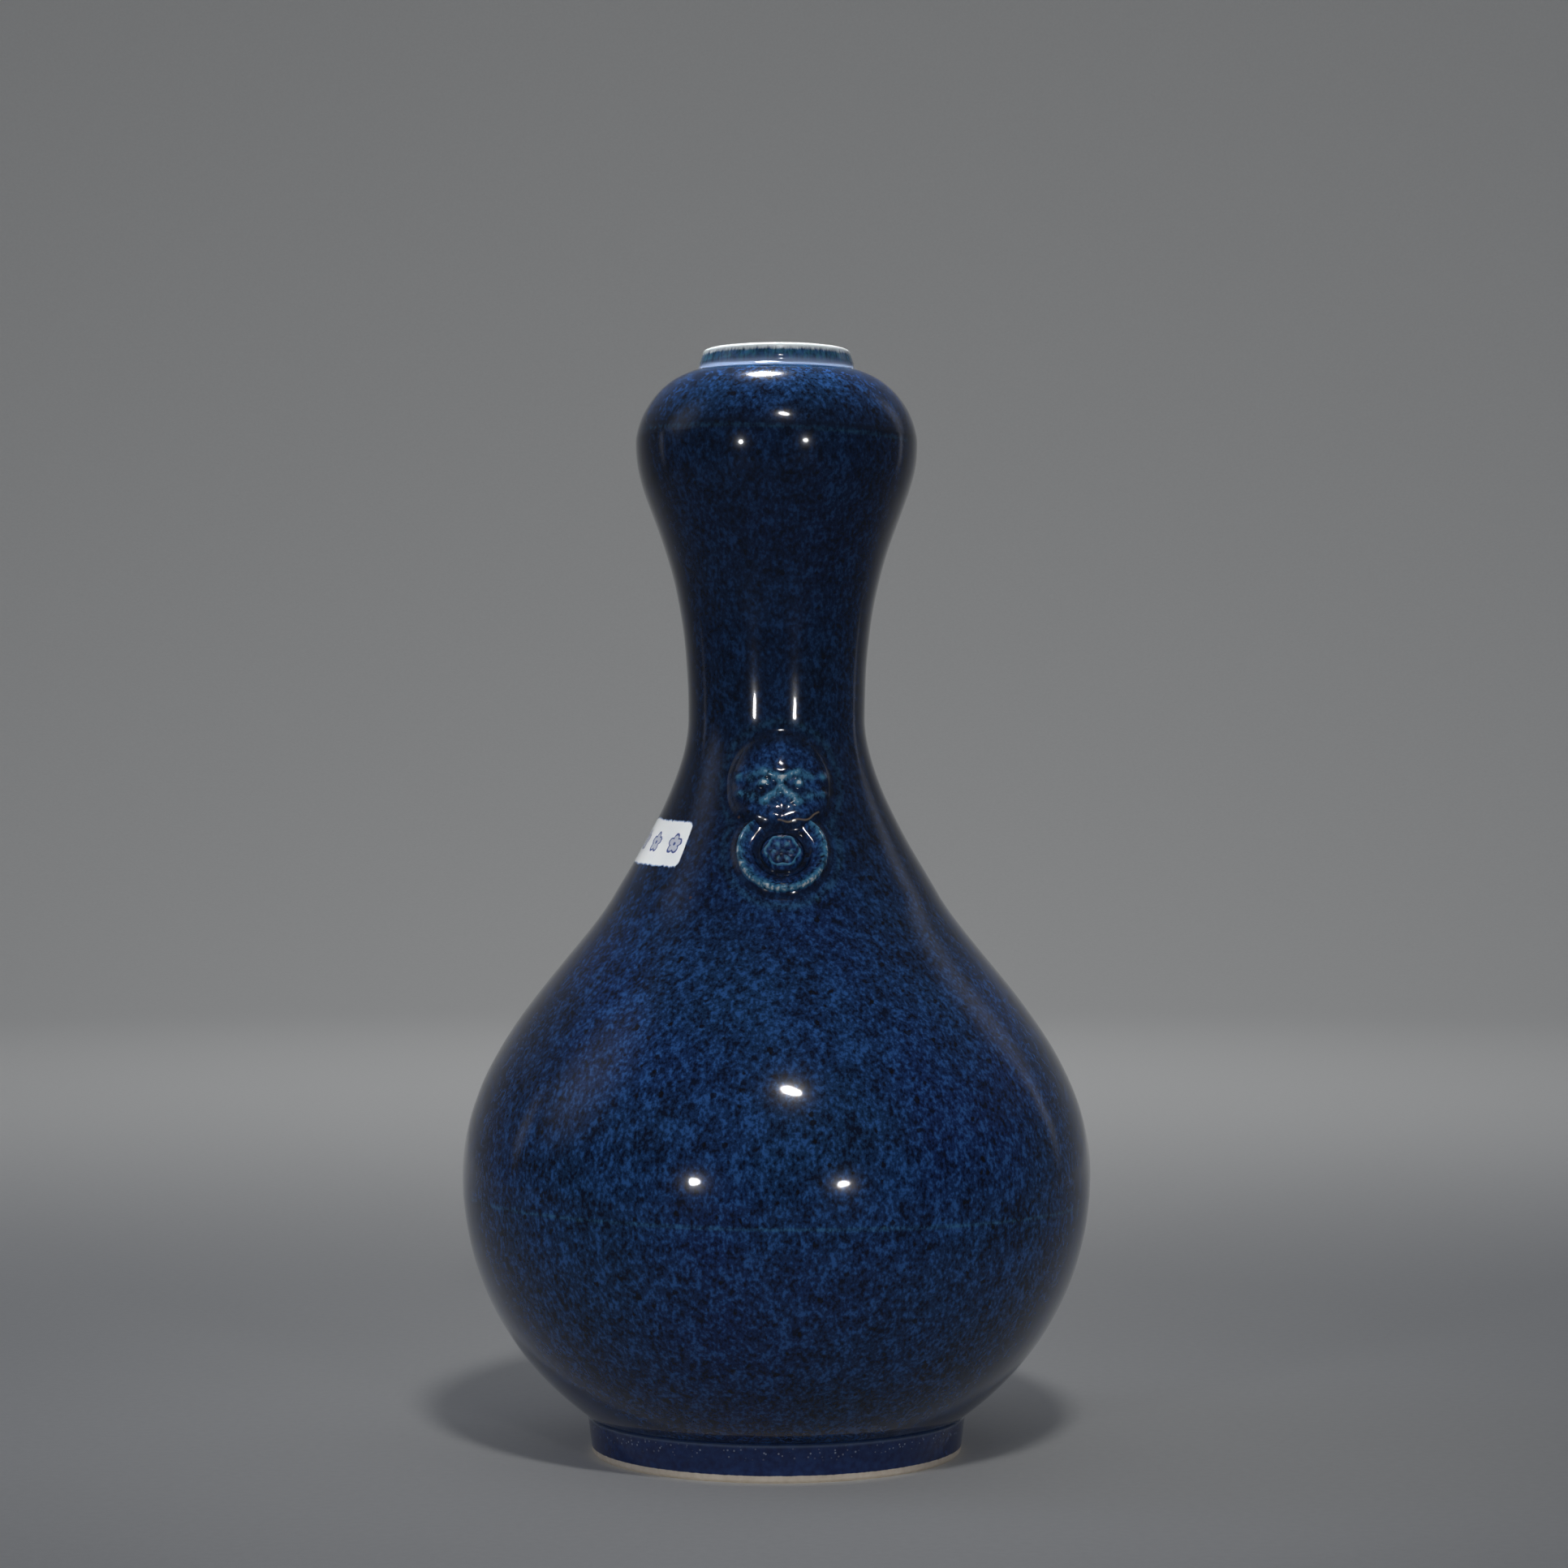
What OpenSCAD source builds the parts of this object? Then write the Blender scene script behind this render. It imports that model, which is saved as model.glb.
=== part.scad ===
// Garlic-head vase in blue-glazed porcelain, thrown in sections and luted together with slip.
// The origin is the centre of the foot's resting plane, with +Z up.
// The two masks face -Y and +Y, and the white panel faces -X.

/* [Foot ring] */
// Outer radius of the foot at its resting edge
foot_rest_r = 62; // [54:0.5:66]
// Outer radius of the foot where it meets the bowl
foot_top_r = 63.4; // [56:0.2:70]
// Height of the foot ring
foot_h = 13; // [8:0.5:20]
// Thickness of the foot ring at its top
foot_wall = 9; // [6:0.5:14]
// Width of the flat edge that the vase rests on
foot_rest_w = 4; // [2:0.5:6]
// Bevel along the two outer edges of the foot
foot_bevel = 0.8; // [0.4:0.1:1.5]
// Depth that the base's locating disc reaches into the foot ring
base_disc_h = 3; // [1:0.5:5]

/* [Bowl and belly] */
// Largest radius of the belly
belly_r = 105.4; // [90:0.2:120]
// Height from the top of the foot to the widest part of the belly
bowl_rise = 80.5; // [70:0.5:100]
// Angle above level at which the bowl leaves the foot
bowl_angle = 36; // [25:1:45]
// Length over which the bowl follows that angle
bowl_pull = 44.5; // [30:0.5:52]
// Length over which the belly stays upright below its widest part
belly_low_pull = 19; // [12:0.5:30]
// Length over which the belly stays upright above its widest part
belly_high_pull = 42.5; // [30:0.5:52]

/* [Throat and neck] */
// Radius at the throat, where the shoulder's curve turns into the neck's
throat_r = 54.2; // [46:0.2:64]
// Height from the widest part of the belly to the throat
throat_rise = 94; // [80:0.5:115]
// Steepness of the wall at the throat, above level
throat_angle = 61; // [50:1:72]
// Length over which the shoulder follows the throat's slope from below
throat_low_pull = 25.5; // [15:0.5:35]
// Length over which the neck follows the throat's slope from above
throat_high_pull = 10; // [5:0.5:18]
// Smallest radius of the neck
neck_r = 29.8; // [25:0.2:36]
// Height from the throat to the narrowest part of the neck
neck_rise = 58.5; // [48:0.5:75]
// Length over which the neck stays upright below its narrowest part
neck_low_pull = 21; // [12:0.5:30]
// Length over which the neck stays upright above its narrowest part
neck_high_pull = 59.5; // [40:0.5:65]

/* [Garlic head] */
// Largest radius of the garlic head
bulb_r = 47.4; // [40:0.2:56]
// Height from the narrowest part of the neck to the widest part of the head
bulb_rise = 92; // [80:0.5:115]
// Length over which the head stays upright below its widest part
bulb_low_pull = 23; // [14:0.5:30]
// Length over which the head stays upright above its widest part
bulb_high_pull = 8; // [6:0.5:14]
// Height from the widest part of the head to the seat of the mouth rim
dome_rise = 24.5; // [20:0.5:32]
// Slope of the head's dome at the seat of the mouth rim, below level
dome_angle = 15; // [5:1:25]
// Length over which the dome follows that slope
dome_pull = 13.4; // [8:0.2:16]

/* [Mouth rim] */
// Outer radius of the rim just under its lip
rim_r = 25; // [22:0.2:28]
// How much wider the rim is at its base than under its lip
rim_flare = 1; // [0.2:0.1:2]
// Radius of the hollow curve where the rim runs out on the dome
rim_fillet = 2.3; // [1:0.1:3]
// Height of the rim above its seat
rim_h = 7.5; // [6.5:0.1:12]
// Thickness of the rim's wall, rounded over at the lip
rim_wall = 3.2; // [2.4:0.1:4]
// Thickness of the rim's thin edge on the dome
rim_edge = 0.6; // [0.4:0.1:1]
// Depth of the spigot that locates the rim in the dome
spigot_h = 3; // [1.5:0.1:3.5]
// Thickness of that spigot
spigot_wall = 1.6; // [1:0.1:2]

/* [Walls and luted joints] */
// Thickness of the wall from the foot to the belly
body_wall = 5.5; // [4.5:0.1:8]
// Thickness of the wall from the neck upwards
neck_wall = 4.4; // [3.8:0.1:6]
// Thickness of the floor above the foot ring
floor_t = 7; // [5:0.5:12]
// Height of the tongue that locates one section in the next
lap_h = 6; // [3:0.5:10]
// Gap left for slip between luted pieces
slip_gap = 0.1; // [0.05:0.01:0.2]
// Height of the belly's seam below its widest part
belly_seam_drop = 7; // [2:0.5:15]
// Height of the neck's seam above its narrowest part
neck_seam_rise = 4; // [0:0.5:12]
// Height of the head's seam above its widest part
bulb_seam_rise = 2; // [0:0.5:5]

/* [White panel] */
// Height of the panel's middle above the throat
panel_rise = 18; // [14:0.5:24]
// Height of the panel
panel_h = 15; // [10:0.5:20]
// Angle around the vase from the panel's middle to either end
panel_half_turn = 46; // [25:1:55]
// Tilt of the panel, with its front end lower
panel_tilt = 2.5; // [0:0.5:5]
// Thickness of the panel's white layer
panel_t = 0.8; // [0.5:0.1:1.5]
// Depth of the panel's face below the glaze around it
panel_sunk = 0.2; // [0.1:0.05:0.4]

/* [Masks and rings] */
// Drop from the narrowest part of the neck to the middle of a mask
mask_drop = 23; // [20:0.5:28]
// Width of a mask, measured around the wall
mask_w = 32; // [26:0.5:36]
// Height of a mask above its middle, measured along the wall
mask_up = 17.5; // [13:0.5:19]
// Height of a mask below its middle, measured along the wall
mask_down = 14; // [11:0.5:16]
// Rise of a mask's face above its edge
mask_h = 3.2; // [1.5:0.1:4]
// Outer radius of the ring that hangs from a mask
ring_r = 15; // [12:0.2:17]
// Width of the ring's band
ring_band = 5.5; // [3:0.1:6.5]
// Rise of the ring's crest above its edge
ring_h = 2; // [1:0.1:3]
// Length of the ring's top that the mask's jaw covers
ring_tuck = 5; // [2:0.1:6]
// Radius of the flower boss inside the ring
boss_r = 6.3; // [4:0.1:7.5]
// Rise of the flower boss above its edge
boss_h = 1.4; // [0.6:0.1:2]
// Thickness of masks, rings and bosses at their edges
sprig_edge = 0.8; // [0.5:0.1:1.2]
// Number of petals on a flower boss
petals = 6; // [4:1:8]

/* [Hidden] */
$fn = 96;

// Points along each curve of the outline
curve_steps = 14;
// Points along the round of the lip and along the rim's hollow curve
lip_steps = 12;
// Larger than the vase in every direction, for cutting shapes
past_all = 500;

// Heights of the outline's stations above the resting plane
belly_z = foot_h + bowl_rise;
throat_z = belly_z + throat_rise;
neck_z = throat_z + neck_rise;
bulb_z = neck_z + bulb_rise;
rim_seat_z = bulb_z + dome_rise;
top_z = rim_seat_z + rim_h;

// Heights of the floor and of the luted seams
floor_z = foot_h + floor_t;
belly_seam_z = belly_z - belly_seam_drop;
neck_seam_z = neck_z + neck_seam_rise;
bulb_seam_z = bulb_z + bulb_seam_rise;

// Radii that neighbouring pieces share
foot_bore_r = foot_top_r - foot_wall;
rim_seat_r = rim_r + rim_flare + rim_fillet;
mouth_r = rim_r - rim_wall;
spigot_r = mouth_r + spigot_wall;

// Colours of the glazes and of the bare clay
blue_glaze = "#16356b";
pale_blue_glaze = "#2a5f8c";
white_glaze = "#dfe4e6";
foot_glaze = "#1b2c58";

// A step of a given length at an angle above level, as [radius, height]
function stride(length, angle) = length * [cos(angle), sin(angle)];

// The outline's five curves, each by its two ends and the two points that pull it
throat_point = [throat_r, throat_z];
throat_slope = [-cos(throat_angle), sin(throat_angle)];
outline_curves = [
  [
    [foot_top_r, foot_h],
    [foot_top_r, foot_h] + stride(bowl_pull, bowl_angle),
    [belly_r, belly_z - belly_low_pull],
    [belly_r, belly_z]
  ],
  [
    [belly_r, belly_z],
    [belly_r, belly_z + belly_high_pull],
    throat_point - throat_low_pull * throat_slope,
    throat_point
  ],
  [
    throat_point,
    throat_point + throat_high_pull * throat_slope,
    [neck_r, neck_z - neck_low_pull],
    [neck_r, neck_z]
  ],
  [
    [neck_r, neck_z],
    [neck_r, neck_z + neck_high_pull],
    [bulb_r, bulb_z - bulb_low_pull],
    [bulb_r, bulb_z]
  ],
  [
    [bulb_r, bulb_z],
    [bulb_r, bulb_z + bulb_high_pull],
    [rim_seat_r, rim_seat_z] + stride(dome_pull, -dome_angle),
    [rim_seat_r, rim_seat_z]
  ]
];

// Cubic curve through its first and last points, and its direction, at t from 0 to 1
function curve_point(c, t) =
  let (s = 1 - t)
  s * s * s * c[0] + 3 * s * s * t * c[1] + 3 * s * t * t * c[2] + t * t * t * c[3];
function curve_direction(c, t) =
  let (s = 1 - t)
  s * s * (c[1] - c[0]) + 2 * s * t * (c[2] - c[1]) + t * t * (c[3] - c[2]);

// Unit vector that points out of the wall, from the outline's upward direction
function outwards(direction) = [direction[1], -direction[0]] / norm(direction);

// The outline from foot to rim, with the outward direction at each of its points
outline_stations = [
  for (c = outline_curves)
    for (i = [c == outline_curves[0] ? 0 : 1 : curve_steps])
      [curve_point(c, i / curve_steps), outwards(curve_direction(c, i / curve_steps))]
];
outline = [for (station = outline_stations) station[0]];
last = len(outline) - 1;

// Wall thickness at a height: even up to the belly and from the neck, easing between them
function wall_at(z) = lookup(z, [[belly_z, body_wall], [neck_z, neck_wall]]);

// The outline moved into the wall by one depth all the way, and by the wall's thickness
function outline_sunk(depth) = [for (station = outline_stations) station[0] - depth * station[1]];
inner_outline = [for (station = outline_stations) station[0] - wall_at(station[0][1]) * station[1]];

// Middle of the wall, sunk further by a clearance, and its radius at a height
function mid_outline(clearance) =
  [for (station = outline_stations)
    station[0] - (wall_at(station[0][1]) / 2 + clearance) * station[1]];
radius_at_height = [for (p = outline) [p[1], p[0]]];
function mid_r(z) = lookup(z, radius_at_height) - wall_at(z) / 2;

// Points of an arc
function arc(centre, r, from, to, steps) =
  [for (i = [0 : steps]) centre + stride(r, from + (to - from) * i / steps)];

// Half outline of the whole vase as if it were solid
module solid_half() {
  polygon(concat([[0, foot_h]], outline, [[0, rim_seat_z]]));
}

// Half outline of the hollow inside, with a flat floor
module hollow_half() {
  intersection() {
    polygon(concat([[0, foot_h]], inner_outline, [[0, inner_outline[last][1]]]));
    translate([0, floor_z]) square(past_all);
  }
}

// Half outline of the wall between two heights
module wall_half(low_z, high_z) {
  intersection() {
    difference() {
      solid_half();
      hollow_half();
    }
    translate([0, low_z]) square([past_all, high_z - low_z]);
  }
}

// Space of a lap above a seam: inside the middle of the wall, and nowhere wider than at the seam
module lap_half(seam_z, clearance) {
  intersection() {
    polygon(concat([[0, foot_h]], mid_outline(clearance), [[0, rim_seat_z]]));
    translate([0, seam_z]) square([mid_r(seam_z) - clearance, lap_h - clearance]);
  }
}

// Tongue that stands up from a seam on the inner half of the wall
module tongue_half(seam_z) {
  intersection() {
    wall_half(seam_z, seam_z + lap_h);
    lap_half(seam_z, slip_gap);
  }
}

// Rebate above a seam that takes the tongue of the section below
module rebate_half(seam_z) {
  lap_half(seam_z, 0);
}

// One thrown section between two seams, with a rebate below and a tongue above
module thrown_section_half(low_seam_z, high_seam_z) {
  difference() {
    wall_half(low_seam_z, high_seam_z);
    rebate_half(low_seam_z);
  }
  tongue_half(high_seam_z);
}

// Foot ring: short upright ring under the bowl, hollowed inside, resting on a narrow flat edge
module foot_ring() {
  seat_z = foot_h - base_disc_h - slip_gap;
  color(foot_glaze) rotate_extrude() polygon([
    [foot_rest_r - foot_bevel - foot_rest_w, 0],
    [foot_rest_r - foot_bevel, 0],
    [foot_rest_r, foot_bevel],
    [foot_top_r, foot_h - foot_bevel],
    [foot_top_r - foot_bevel, foot_h],
    [foot_bore_r, foot_h],
    [foot_bore_r, seat_z]
  ]);
}

// Lower body: bowl with a thick floor, a disc below that locates the foot, and a tongue above
module lower_body() {
  color(blue_glaze) rotate_extrude() {
    wall_half(foot_h, belly_seam_z);
    tongue_half(belly_seam_z);
    translate([0, foot_h - base_disc_h]) square([foot_bore_r - slip_gap, base_disc_h]);
  }
}

// Wedge of space that the white panel fills, grown on every side by a margin
module panel_wedge(margin) {
  panel_z = throat_z + panel_rise;
  margin_turn = margin / throat_r * 180 / PI;
  half_turn = panel_half_turn + margin_turn;
  translate([0, 0, panel_z])
    rotate([panel_tilt, 0, 0])
      translate([0, 0, -panel_h / 2 - margin])
        rotate([0, 0, 180 - half_turn])
          rotate_extrude(angle = 2 * half_turn) square([past_all, panel_h + 2 * margin]);
}

// Layer of the wall between two depths below its outer face
module wall_layer(shallow, deep) {
  rotate_extrude() polygon(concat(outline_sunk(shallow), [for (i = [last : -1 : 0]) outline_sunk(deep)[i]]));
}

// Upper body: shoulder from the belly's seam to the neck's, with a shallow recess for the panel
module upper_body() {
  recess_depth = panel_sunk + panel_t + slip_gap;
  color(blue_glaze) difference() {
    rotate_extrude() thrown_section_half(belly_seam_z, neck_seam_z);
    intersection() {
      wall_layer(-panel_t, recess_depth);
      panel_wedge(slip_gap);
    }
  }
}

// Neck: slim tube that opens into the lower half of the garlic head
module neck() {
  color(blue_glaze) rotate_extrude() thrown_section_half(neck_seam_z, bulb_seam_z);
}

// Bulb top: dome that closes the garlic head and carries the mouth rim
module bulb_top() {
  color(blue_glaze) rotate_extrude() difference() {
    wall_half(bulb_seam_z, rim_seat_z);
    rebate_half(bulb_seam_z);
    square([spigot_r + slip_gap, past_all]);
  }
}

// Mouth rim: short collar with a rounded lip, hollow-curved at its base, on a spigot
module mouth_rim() {
  lip_r = rim_wall / 2;
  rim_base_r = rim_r + rim_flare;
  fillet_z = rim_seat_z + rim_edge + rim_fillet;
  color(pale_blue_glaze) rotate_extrude() polygon(concat(
    [[mouth_r, rim_seat_z - spigot_h]],
    [[spigot_r, rim_seat_z - spigot_h]],
    [[spigot_r, rim_seat_z]],
    [[rim_seat_r, rim_seat_z]],
    arc([rim_base_r + rim_fillet, fillet_z], rim_fillet, 270, 180, lip_steps),
    arc([rim_r - lip_r, top_z - lip_r], lip_r, 0, 180, lip_steps)
  ));
}

// Mark panel: thin white layer let into the shoulder on the vase's left
module mark_panel() {
  color(white_glaze) intersection() {
    wall_layer(panel_sunk, panel_sunk + panel_t);
    panel_wedge(0);
  }
}

// Length along the outline from the foot to each of its points, and what lies at each length
outline_runs = [
  for (
    i = 0, run = 0;
    i <= last;
    i = i + 1, run = run + (i <= last ? norm(outline[i] - outline[i - 1]) : 0)
  ) run
];
radius_at_run = [for (i = [0 : last]) [outline_runs[i], outline[i][0]]];
height_at_run = [for (i = [0 : last]) [outline_runs[i], outline[i][1]]];
run_at_height = [for (i = [0 : last]) [outline[i][1], outline_runs[i]]];
function outline_at(run) = [lookup(run, radius_at_run), lookup(run, height_at_run)];

// Point on the wall by its distance around from the front and along the outline, lifted off it
probe = 2 * sprig_edge;
function wall_point(around, run, lift) =
  let (
    foot_point = outline_at(run),
    out = outwards(outline_at(run + probe) - outline_at(run - probe)),
    turn = around / foot_point[0] * 180 / PI,
    lifted = foot_point + lift * out
  )
  [lifted[0] * sin(turn), -lifted[0] * cos(turn), lifted[1]];

// Places of the mask's middle and of the ring's middle along the outline
mask_run = lookup(neck_z - mask_drop, run_at_height);
ring_run = mask_run - mask_down - ring_r + ring_tuck;

// Rounded hill of height 1 at a place, and rounded ridge of height 1 between two places
function hill(p, place, spread) = exp(-pow(norm(p - place) / spread, 2));
function ridge(p, start, end, spread) =
  let (
    way = end - start,
    share = min(1, max(0, ((p - start) * way) / (way * way)))
  )
  hill(p, start + share * way, spread);

// Mask outline: a round crown over a squarer jaw, as the reach from its middle in a direction
crown_power = 2;
jaw_power = 2.6;
function mask_reach(direction) =
  let (
    up = sin(direction) >= 0,
    power = up ? crown_power : jaw_power,
    across = abs(cos(direction)) / (mask_w / 2),
    along = abs(sin(direction)) / (up ? mask_up : mask_down)
  )
  pow(pow(across, power) + pow(along, power), -1 / power);

// Mask relief: domed face with slanting brows that meet at the nose, eyes in sockets, cheeks and side curls.
// Places are shares of the mask's half width, and of its height above or below its middle.
function mask_relief(share, direction) =
  let (
    reach = share * mask_reach(direction),
    side = abs(reach * cos(direction)) / (mask_w / 2),
    along = reach * sin(direction),
    p = [side, along >= 0 ? along / mask_up : along / mask_down],
    dome = 0.62 * (1 - pow(share, 2.5)),
    forehead = 0.2 * hill(p, [0, 0.45], 0.4),
    inner_brow = 0.3 * ridge(p, [0, 0.11], [0.33, 0.25], 0.075),
    outer_brow = 0.15 * ridge(p, [0.33, 0.25], [0.62, 0.14], 0.09),
    brow = max(inner_brow, outer_brow),
    socket = -0.3 * hill(p, [0.34, 0], 0.22),
    eye = 0.5 * hill(p, [0.34, 0.02], 0.12),
    nose = 0.25 * ridge(p, [0, 0.1], [0, -0.12], 0.07),
    muzzle = 0.2 * ridge(p, [0, -0.1], [0.34, -0.44], 0.09),
    nostril = 0.3 * hill(p, [0.13, -0.4], 0.09),
    cheek = 0.18 * hill(p, [0.58, -0.3], 0.15),
    curl = 0.2 * (hill(p, [0.86, 0.17], 0.1) + hill(p, [0.84, -0.24], 0.1)),
    jaw = 0.3 * ridge(p, [0, -0.92], [0.5, -0.72], 0.22)
  )
  mask_h * (dome + forehead + brow + socket + eye + nose + muzzle + nostril + cheek + curl + jaw);

// Boss relief: raised, lobed rim around a ring of petals with a small eye in the middle
function boss_relief(share, direction) =
  let (
    rim_share = 0.83 + 0.06 * cos(petals * direction),
    rim = 0.8 * exp(-pow((share - rim_share) / 0.12, 2)),
    petal = 0.3 * (1 + cos(petals * direction)) * exp(-pow((share - 0.44) / 0.2, 2)),
    eye = 0.5 * exp(-pow(share / 0.14, 2)),
    dome = 0.25 * (1 - share)
  )
  boss_h * (rim + petal + eye + dome);

// Sprig: moulded disc laid on the wall, in rings of points from its middle out to its edge
module sprig(middle_run, reach, relief, rings, spokes) {
  function place(ring, spoke, lift) =
    let (
      direction = 360 * spoke / spokes,
      distance = reach(direction) * ring / rings
    )
    wall_point(distance * cos(direction), middle_run + distance * sin(direction), lift);
  function front_lift(ring, spoke) = slip_gap + sprig_edge + relief(ring / rings, 360 * spoke / spokes);
  function at(ring, spoke) = 1 + (ring - 1) * spokes + spoke % spokes;
  back = 1 + rings * spokes;
  front_points = [for (ring = [1 : rings]) for (spoke = [0 : spokes - 1])
    place(ring, spoke, front_lift(ring, spoke))];
  back_points = [for (ring = [1 : rings]) for (spoke = [0 : spokes - 1]) place(ring, spoke, slip_gap)];
  cap_faces = [for (s = [0 : spokes - 1]) [0, at(1, s + 1), at(1, s)]];
  band_faces = [for (r = [1 : rings - 1]) for (s = [0 : spokes - 1]) each [
    [at(r, s), at(r, s + 1), at(r + 1, s + 1)],
    [at(r, s), at(r + 1, s + 1), at(r + 1, s)]
  ]];
  front_faces = concat(cap_faces, band_faces);
  back_faces = [for (f = front_faces) [back + f[0], back + f[2], back + f[1]]];
  edge_faces = [for (s = [0 : spokes - 1]) each [
    [at(rings, s), at(rings, s + 1), back + at(rings, s + 1)],
    [at(rings, s), back + at(rings, s + 1), back + at(rings, s)]
  ]];
  polyhedron(
    points = concat([place(0, 0, front_lift(0, 0))], front_points, [place(0, 0, slip_gap)], back_points),
    faces = concat(front_faces, back_faces, edge_faces)
  );
}

// Beast mask, its jaw over the top of the ring
module mask() {
  mask_rings = 18;
  mask_spokes = 54;
  sprig(
    mask_run,
    function(direction) mask_reach(direction),
    function(share, direction) mask_relief(share, direction),
    mask_rings,
    mask_spokes
  );
}

// Flower boss in the middle of the ring
module boss() {
  boss_rings = 8;
  boss_spokes = 36;
  sprig(
    ring_run,
    function(direction) boss_r,
    function(share, direction) boss_relief(share, direction),
    boss_rings,
    boss_spokes
  );
}

// Angle from the ring's foot at which its outer edge comes up against the mask's jaw.
// It is found by halving the stretch between the ring's side and its top.
halvings = 20;
at_side = 90;
at_top = 180;
function clear_of_jaw(angle) =
  let (
    across = ring_r * sin(angle),
    along = ring_run - ring_r * cos(angle) - mask_run
  )
  norm([across, along]) > mask_reach(atan2(along, across)) + slip_gap;
function ring_end(low, high, left) =
  let (middle = (low + high) / 2)
  left == 0 ? low
    : clear_of_jaw(middle) ? ring_end(middle, high, left - 1) : ring_end(low, middle, left - 1);

// Ring: open band that runs from one side of the jaw to the other, its crest near its outer edge
module ring() {
  band_steps = 6;
  ring_steps = 44;
  crest_lean = 2.6;
  loop = 2 * (band_steps + 1);
  end_angle = ring_end(at_side, at_top, halvings);
  function place(step, share, lift) =
    let (
      angle = end_angle * (2 * step / ring_steps - 1),
      distance = ring_r - ring_band * (1 - share)
    )
    wall_point(distance * sin(angle), ring_run - distance * cos(angle), lift);
  function front_lift(share) = slip_gap + sprig_edge + ring_h * sin(180 * pow(share, crest_lean));
  function at(step, corner) = step * loop + corner % loop;
  points = [for (step = [0 : ring_steps]) each concat(
    [for (i = [0 : band_steps]) place(step, i / band_steps, front_lift(i / band_steps))],
    [for (i = [band_steps : -1 : 0]) place(step, i / band_steps, slip_gap)]
  )];
  side_faces = [for (step = [0 : ring_steps - 1]) for (c = [0 : loop - 1]) each [
    [at(step, c), at(step, c + 1), at(step + 1, c + 1)],
    [at(step, c), at(step + 1, c + 1), at(step + 1, c)]
  ]];
  start_faces = [for (c = [0 : band_steps - 1]) each [
    [at(0, c), at(0, loop - 1 - c), at(0, c + 1)],
    [at(0, c + 1), at(0, loop - 1 - c), at(0, loop - 2 - c)]
  ]];
  end_shift = ring_steps * loop;
  end_faces = [for (f = start_faces) [end_shift + f[0], end_shift + f[2], end_shift + f[1]]];
  polyhedron(points = points, faces = concat(side_faces, start_faces, end_faces));
}

module front_mask() {
  color(blue_glaze) mask();
}

module front_ring() {
  color(pale_blue_glaze) ring();
}

module front_boss() {
  color(pale_blue_glaze) boss();
}

// The back of the vase carries the same sprigs, half a turn round
module back_mask() {
  color(blue_glaze) rotate([0, 0, 180]) mask();
}

module back_ring() {
  color(pale_blue_glaze) rotate([0, 0, 180]) ring();
}

module back_boss() {
  color(pale_blue_glaze) rotate([0, 0, 180]) boss();
}

foot_ring();
lower_body();
upper_body();
neck();
bulb_top();
mouth_rim();
mark_panel();
front_mask();
front_ring();
front_boss();
back_mask();
back_ring();
back_boss();
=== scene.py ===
# Garlic-head vase in blue-glazed porcelain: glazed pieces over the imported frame, in the order of assembly.

import bmesh
import bpy
import numpy as np
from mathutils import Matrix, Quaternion, Vector


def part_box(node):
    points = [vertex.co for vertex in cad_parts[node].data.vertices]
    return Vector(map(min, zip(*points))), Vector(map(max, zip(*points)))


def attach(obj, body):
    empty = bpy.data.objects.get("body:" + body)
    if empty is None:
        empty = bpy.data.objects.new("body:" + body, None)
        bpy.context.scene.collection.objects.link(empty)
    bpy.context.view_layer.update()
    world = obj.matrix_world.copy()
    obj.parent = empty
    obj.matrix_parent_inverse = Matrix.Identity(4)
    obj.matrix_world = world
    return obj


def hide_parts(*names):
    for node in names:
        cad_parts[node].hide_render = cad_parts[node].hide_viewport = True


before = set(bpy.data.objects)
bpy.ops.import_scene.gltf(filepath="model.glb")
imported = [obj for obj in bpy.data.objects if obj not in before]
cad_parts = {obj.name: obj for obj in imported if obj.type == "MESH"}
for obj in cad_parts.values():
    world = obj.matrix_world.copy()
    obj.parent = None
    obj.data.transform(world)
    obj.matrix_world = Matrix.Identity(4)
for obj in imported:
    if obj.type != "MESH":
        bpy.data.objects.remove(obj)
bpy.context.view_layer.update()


# Foot ring
# Short upright porcelain ring under the bowl, turned true on the wheel and luted on with slip.
# It wears a thinner, more violet coat of the blue glaze, wiped off the edge that it rests on.

MM = 0.001
foot_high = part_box("foot_ring")[1]
foot_h = foot_high.z / MM
foot_top_r = foot_high.x / MM
foot_taper = 1.4
foot_wall = 9
foot_rest_r = foot_top_r - foot_taper
foot_bore_r = foot_top_r - foot_wall
foot_rest_w = 4
foot_bevel = 0.8
foot_seat_drop = 3.1
foot_step = 0.4
thin_edge = 0.36
thin_edge_w = 0.45
bare_edge_h = 2.5
bare_edge_w = 0.8
pinhole_drop = 3.2
pinhole_band_w = 1.6
wheel_sway = 0.12
sway_rise = 23
spiral_rise = 3.1
wheel_turns = 384
weld_gap = 0.002
fold_angle = np.radians(40)
vase = []


def straight_sides(corners, step, closed=True):
    """Outline through the corners, each straight side cut into equal parts about a step long. A closed one
    runs back to its first corner, and an open one stops short of its last."""
    ends = corners[1:] + corners[:1] if closed else corners[1:]
    sides = []
    for start, end in zip(corners, ends):
        parts = max(1, round(np.hypot(end[0] - start[0], end[1] - start[1]) / step))
        sides.append(np.linspace(start, end, parts, endpoint=False))
    return np.concatenate(sides)


def unevenness(turn, height):
    """How far the wheel left the wall short of round, in millimetres: a slow wave with two crests round the
    wall, which turn as it rises, and the quick spiral of the thrower's fingers."""
    slow = np.sin(2 * turn + height / sway_rise)
    quick = np.sin(height / spiral_rise - turn)
    return wheel_sway * (1 + 0.6 * slow + 0.4 * quick) / 2


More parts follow.
